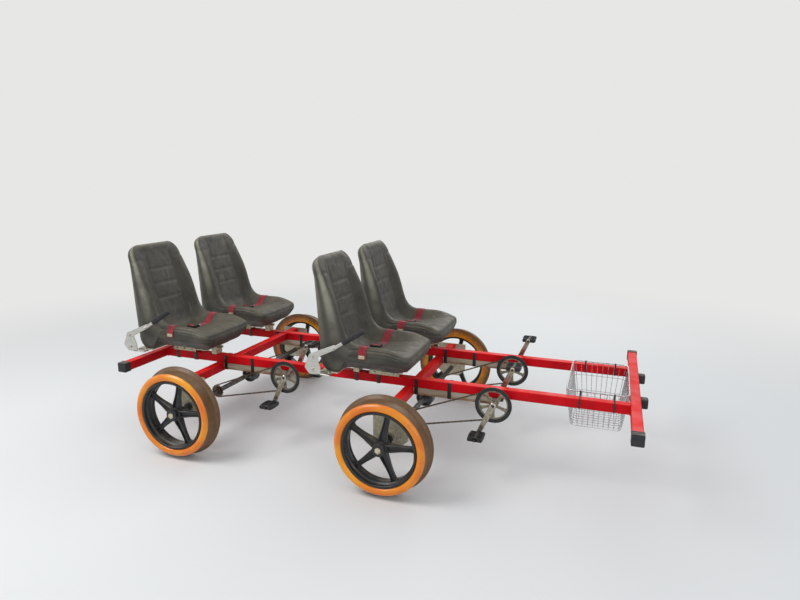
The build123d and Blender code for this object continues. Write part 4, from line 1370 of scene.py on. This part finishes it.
def welds():
    """Beads at every joint of the red tubes, under the same paint."""
    beads = []
    for name, side_of in (("front_bumper", -1), ("rear_bumper", 1)):
        x = middle(name)[0] + side_of * tube_side / 2
        for sign in signs:
            seam = [(x, sign * beam_middle_y + across, beam_z + up) for across, up in square_seam(0.0245)]
            beads.append(weld_bead(seam, X))
    x, inner = middle("mid_cross_tube")[0], beam_middle_y - tube_side / 2
    for sign in signs:
        seam = [(x + ahead, sign * inner, beam_z + up) for ahead, up in square_seam(0.024)]
        beads.append(weld_bead(seam, Y))
    run = 0.022
    for row in rows:
        x = middle(f"{row}_axle_tube")[0]
        for y in (-beam_middle_y, beam_middle_y):
            for reach in (-tube_side / 2, tube_side / 2):
                for way, origin in ((X, (x, y + reach, beam_bottom)), (Y, (x + reach, y, beam_bottom))):
                    beads.append(weld_bead([origin - run * way, origin + run * way], Z))
    piece("weld_beads", beads, lengthwise_red, sharp=60)


def hanger_bolts():
    """Two bolts through each bearing flange and two high on each hanger plate."""
    bolts, plate_inset, flange_step = [], 0.024, 0.010
    for row in rows:
        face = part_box(f"{row}_hangers")[1].y - plate_inset
        flange = face + flange_step
        spots = ((-0.043, 0, flange), (0.043, 0, flange), (-0.060, 0.140, face), (0.060, 0.140, face))
        for sign in signs:
            places = [facing(middle(f"{row}_axle") + (x, sign * y, z), (0, sign, 0)) for x, z, y in spots]
            bolts.append(copies(hex_bolt(0.015, 0.0065), places))
    piece("hanger_bolts", bolts, bright_bolt)


# Distances of the clamp bands from their axle, and the height of what each band holds
clamps = ((-0.310, tube_side), (-0.178, tube_side), (0.044, tube_side + carrier_height),
          (0.230, tube_side + carrier_height))


def clamp_band(held):
    """Band round three sides of a beam about its top middle, along y and z: up one side, round two eased
    corners under it and up the other, with a rolled lip at each end."""
    half, thick = tube_side / 2 + 0.0018, 0.0028
    line = [(-half - 0.0012, -0.0005), (-half, -0.004), (-half, -held - 0.0018), (half, -held - 0.0018),
            (half, -0.004), (half + 0.0012, -0.0005)]
    line = softened(line, 0.005, 6, closed=False)
    return carried(upright(line), rounded_box(0.020, thick, 0.0009, 3), X)


def basket_tie():
    """Cable tie about a beam's middle, along y and z, with y towards the basket: a square loop with its
    ratchet head on the outer face, and a tail that goes up and hooks over the basket's rim."""
    half = tube_side / 2 + 0.0010
    flat = rounded_box(0.0076, 0.0015, 0.0004, 3)
    loop = carried(upright(rounded_box(2 * half, 2 * half, 0.006, 5)), flat, X, loop=True)
    rim_y = beam_middle_y - float(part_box("basket")[1].y) + 0.0035
    rim_up = float(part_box("basket")[1].z) - beam_z
    tail = [(half + 0.0016, 0.004), (half + 0.0016, rim_up - 0.006), (rim_y - 0.0015, rim_up + 0.0012)]
    tail += [(rim_y + 0.0030, rim_up + 0.0008), (rim_y + 0.0052, rim_up - 0.0040)]
    tail += [(rim_y + 0.0050, rim_up - 0.0090)]
    tail = softened(tail, 0.003, 5, closed=False)
    hook = carried(upright(tail), flat, X)
    head = block((-0.0052, -half - 0.0056, 0.004), (0.0052, -half - 0.0006, 0.013), 0.0012)
    return joined([loop, hook, head])


def straps():
    """Clamp bands round the beams, each with a bolt under it, and the basket's ties."""
    bands, bolts, ties = [], [], []
    band_below, tie_spread = 0.0032, 0.0825
    for row in rows:
        axle_x = middle(f"{row}_axle")[0]
        for sign in signs:
            for ahead, held in clamps:
                top = np.array((axle_x + ahead, sign * beam_middle_y, beam_top))
                bands.append(moved(clamp_band(held), facing(top, Z)))
                bolts.append(moved(hex_bolt(0.010, 0.004), facing(top - (held + band_below) * Z, -Z)))
    basket_x = middle("basket")[0]
    for sign in signs:
        for ahead in (-tie_spread, tie_spread):
            place = facing((basket_x + ahead, sign * beam_middle_y, beam_z), Z, (sign, 0, 0))
            ties.append(moved(basket_tie(), place @ np.diag((1.0, -1.0, 1.0, 1.0))))
    piece("clamp_bands", bands, black_enamel, ["clamp_straps"])
    piece("strap_bolts", bolts, bright_bolt)
    piece("basket_ties", ties, black_plastic, ["clamp_straps"])


def rail_bolts():
    """Round-headed bolts through the cross plates into the slide bars, and a knob that locks each seat."""
    bolts, knobs = [], []
    bolt_back, bolt_spread, sunk = 0.052, 0.022, 0.0003
    knob_ahead, knob_right, knob_below = 0.024, 0.028, 0.012
    for row in rows:
        for side, sign in sides:
            low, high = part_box(f"{row}_{side}_seat")
            seat_x, y, top = high.x - seat_length, sign * beam_middle_y, low.z - sunk
            for offset in (-bolt_spread, bolt_spread):
                bolts.append(shifted(dome_bolt(0.006, 0.003), seat_x - bolt_back, y + offset, top))
            knob_at = (seat_x + knob_ahead, y - knob_right, top - knob_below)
            knobs.append(moved(knob(), facing(knob_at, (0, -1, 0))))
    piece("rail_bolts", bolts, bright_bolt)
    piece("seat_knobs", knobs, bright_bolt)


def knob():
    """Fluted knob on a short stud: the radius is a circle's plus a cosine of twelve times the angle."""
    angle = full_turn(72)
    outline = polar(0.011 + 0.0008 * np.cos(12 * angle), angle)
    stud = lathe([(0.004, 0), (0.004, 0.012)], 16)
    return joined([stud, shifted(plate(outline, 0.012, 0.0015), z=0.010)])


def finish_cad():
    """Finishes of the nodes whose own shape is shown."""
    finishes = {"right_beam": lengthwise_red, "left_beam": lengthwise_red, **cross_reds}
    finishes["crank_carriers"] = carrier_coat
    for row in rows:
        finishes[f"{row}_hangers"] = zinc
        finishes.update({f"{row}_{side}_seat_rail": zinc for side in dict(sides)})
    for name, material in finishes.items():
        shown = cad_nodes[name]
        if not shown.material_slots:
            shown.data.materials.append(material)
        for material_slot in shown.material_slots:
            material_slot.material = material


# Studio

camera_place = (1.256, -3.292, 1.563)
camera_turn, camera_drop, camera_roll = radians(19.5136), radians(11.7162), radians(0.4761)
picture_width, focal_pixels, sensor = 800, 601.556, 36.0
paper = (0.80, 0.80, 0.79, 1)


def camera():
    """Camera at the photograph's place: turned from +Y towards −X, dropped and rolled."""
    level = np.array((cos(camera_turn), sin(camera_turn), 0))
    ahead = cos(camera_drop) * np.cross(Z, level) - sin(camera_drop) * Z
    up = np.cross(level, ahead)
    right = cos(camera_roll) * level + sin(camera_roll) * up
    lens = bpy.data.cameras.new("camera")
    lens.sensor_width = sensor
    lens.lens = focal_pixels / picture_width * sensor
    made = in_scene("camera", lens)
    turn = np.eye(4)
    turn[:3, :3] = np.stack([right, np.cross(right, ahead), -ahead], axis=-1)
    turn[:3, 3] = camera_place
    made.matrix_world = Matrix(turn.tolist())
    bpy.context.scene.camera = made


def lamp(name, place, target, size, power):
    """Soft square lamp aimed at a point."""
    light = bpy.data.lights.new(name, "AREA")
    light.size = size
    light.energy = power
    aim = facing(place, np.array(place) - np.array(target), (0.3, 1, 0.2))
    in_scene(name, light).matrix_world = Matrix(aim.tolist())


def world():
    """Even cool light for the object, and the paper's own colour for the camera and in reflections."""
    made = bpy.data.worlds.new("studio")
    bpy.context.scene.world = made
    made.use_nodes = True
    tree = made.node_tree
    tree.nodes.clear()
    rays = add(tree, "LightPath")
    seen = both(tree, rays.outputs["Is Camera Ray"], rays.outputs["Is Glossy Ray"], "MAXIMUM")
    seen = both(tree, seen, rays.outputs["Is Transmission Ray"], "MAXIMUM")
    glow = add(tree, "Background", {"Color": (0.9, 0.95, 1.0, 1), "Strength": 0.62})
    shown = add(tree, "Background", {"Color": paper, "Strength": 1.0})
    mix = add(tree, "MixShader", {0: seen, 1: glow.outputs[0], 2: shown.outputs[0]})
    add(tree, "OutputWorld", {"Surface": mix.outputs[0]})


def floor():
    """Round pale floor that takes the shadow and fades into the paper's colour far out."""
    material = finish_of("floor", (0.78, 0.78, 0.77, 1), 0.9)
    tree = material.node_tree
    shader = tree.nodes["Principled BSDF"]
    place = add(tree, "VectorMath", {0: add(tree, "TexCoord").outputs["Object"]}, operation="LENGTH")
    far = between(tree, place.outputs["Value"], 2.2, 6.0)
    share = both(tree, far, add(tree, "LightPath").outputs["Is Camera Ray"])
    glow = add(tree, "Emission", {"Color": paper, "Strength": 1.0})
    mix = add(tree, "MixShader", {0: share, 1: shader.outputs[0], 2: glow.outputs[0]})
    tree.links.new(mix.outputs[0], tree.nodes["Material Output"].inputs["Surface"])
    mesh = bpy.data.meshes.new("floor")
    rim = circle(40.0, 96)
    mesh.from_pydata(np.column_stack([rim, np.zeros(96)]).tolist(), [], [list(range(96))])
    mesh.materials.append(material)
    made = in_scene("floor", mesh)


def studio():
    """Camera, lamps, world and floor."""
    camera()
    lamp("key", (-2.6, -2.4, 4.2), (0, 0, 0.4), 2.4, 120)
    lamp("fill", (3.8, -3.4, 2.4), (0.2, 0, 0.4), 3.2, 36)
    lamp("back", (0.6, 4.4, 3.4), (0, 0, 0.4), 3.0, 60)
    world()
    floor()
    bpy.context.scene.view_settings.view_transform = "Standard"


for row in rows:
    wheelset(row)
    axle_line(row)
    brake_lever(row)
    for side in dict(sides):
        axis_place = facing(crank_axis(row, side), Z)
        crank_station(row, side, axis_place)
        pedals(row, side, axis_place)
        chain(row, side)
        belt(row, side, seat(row, side))
piece("basket_wires", basket_wires(), chrome, ["basket"], sharp=50)
dress_frame()
finish_cad()
studio()
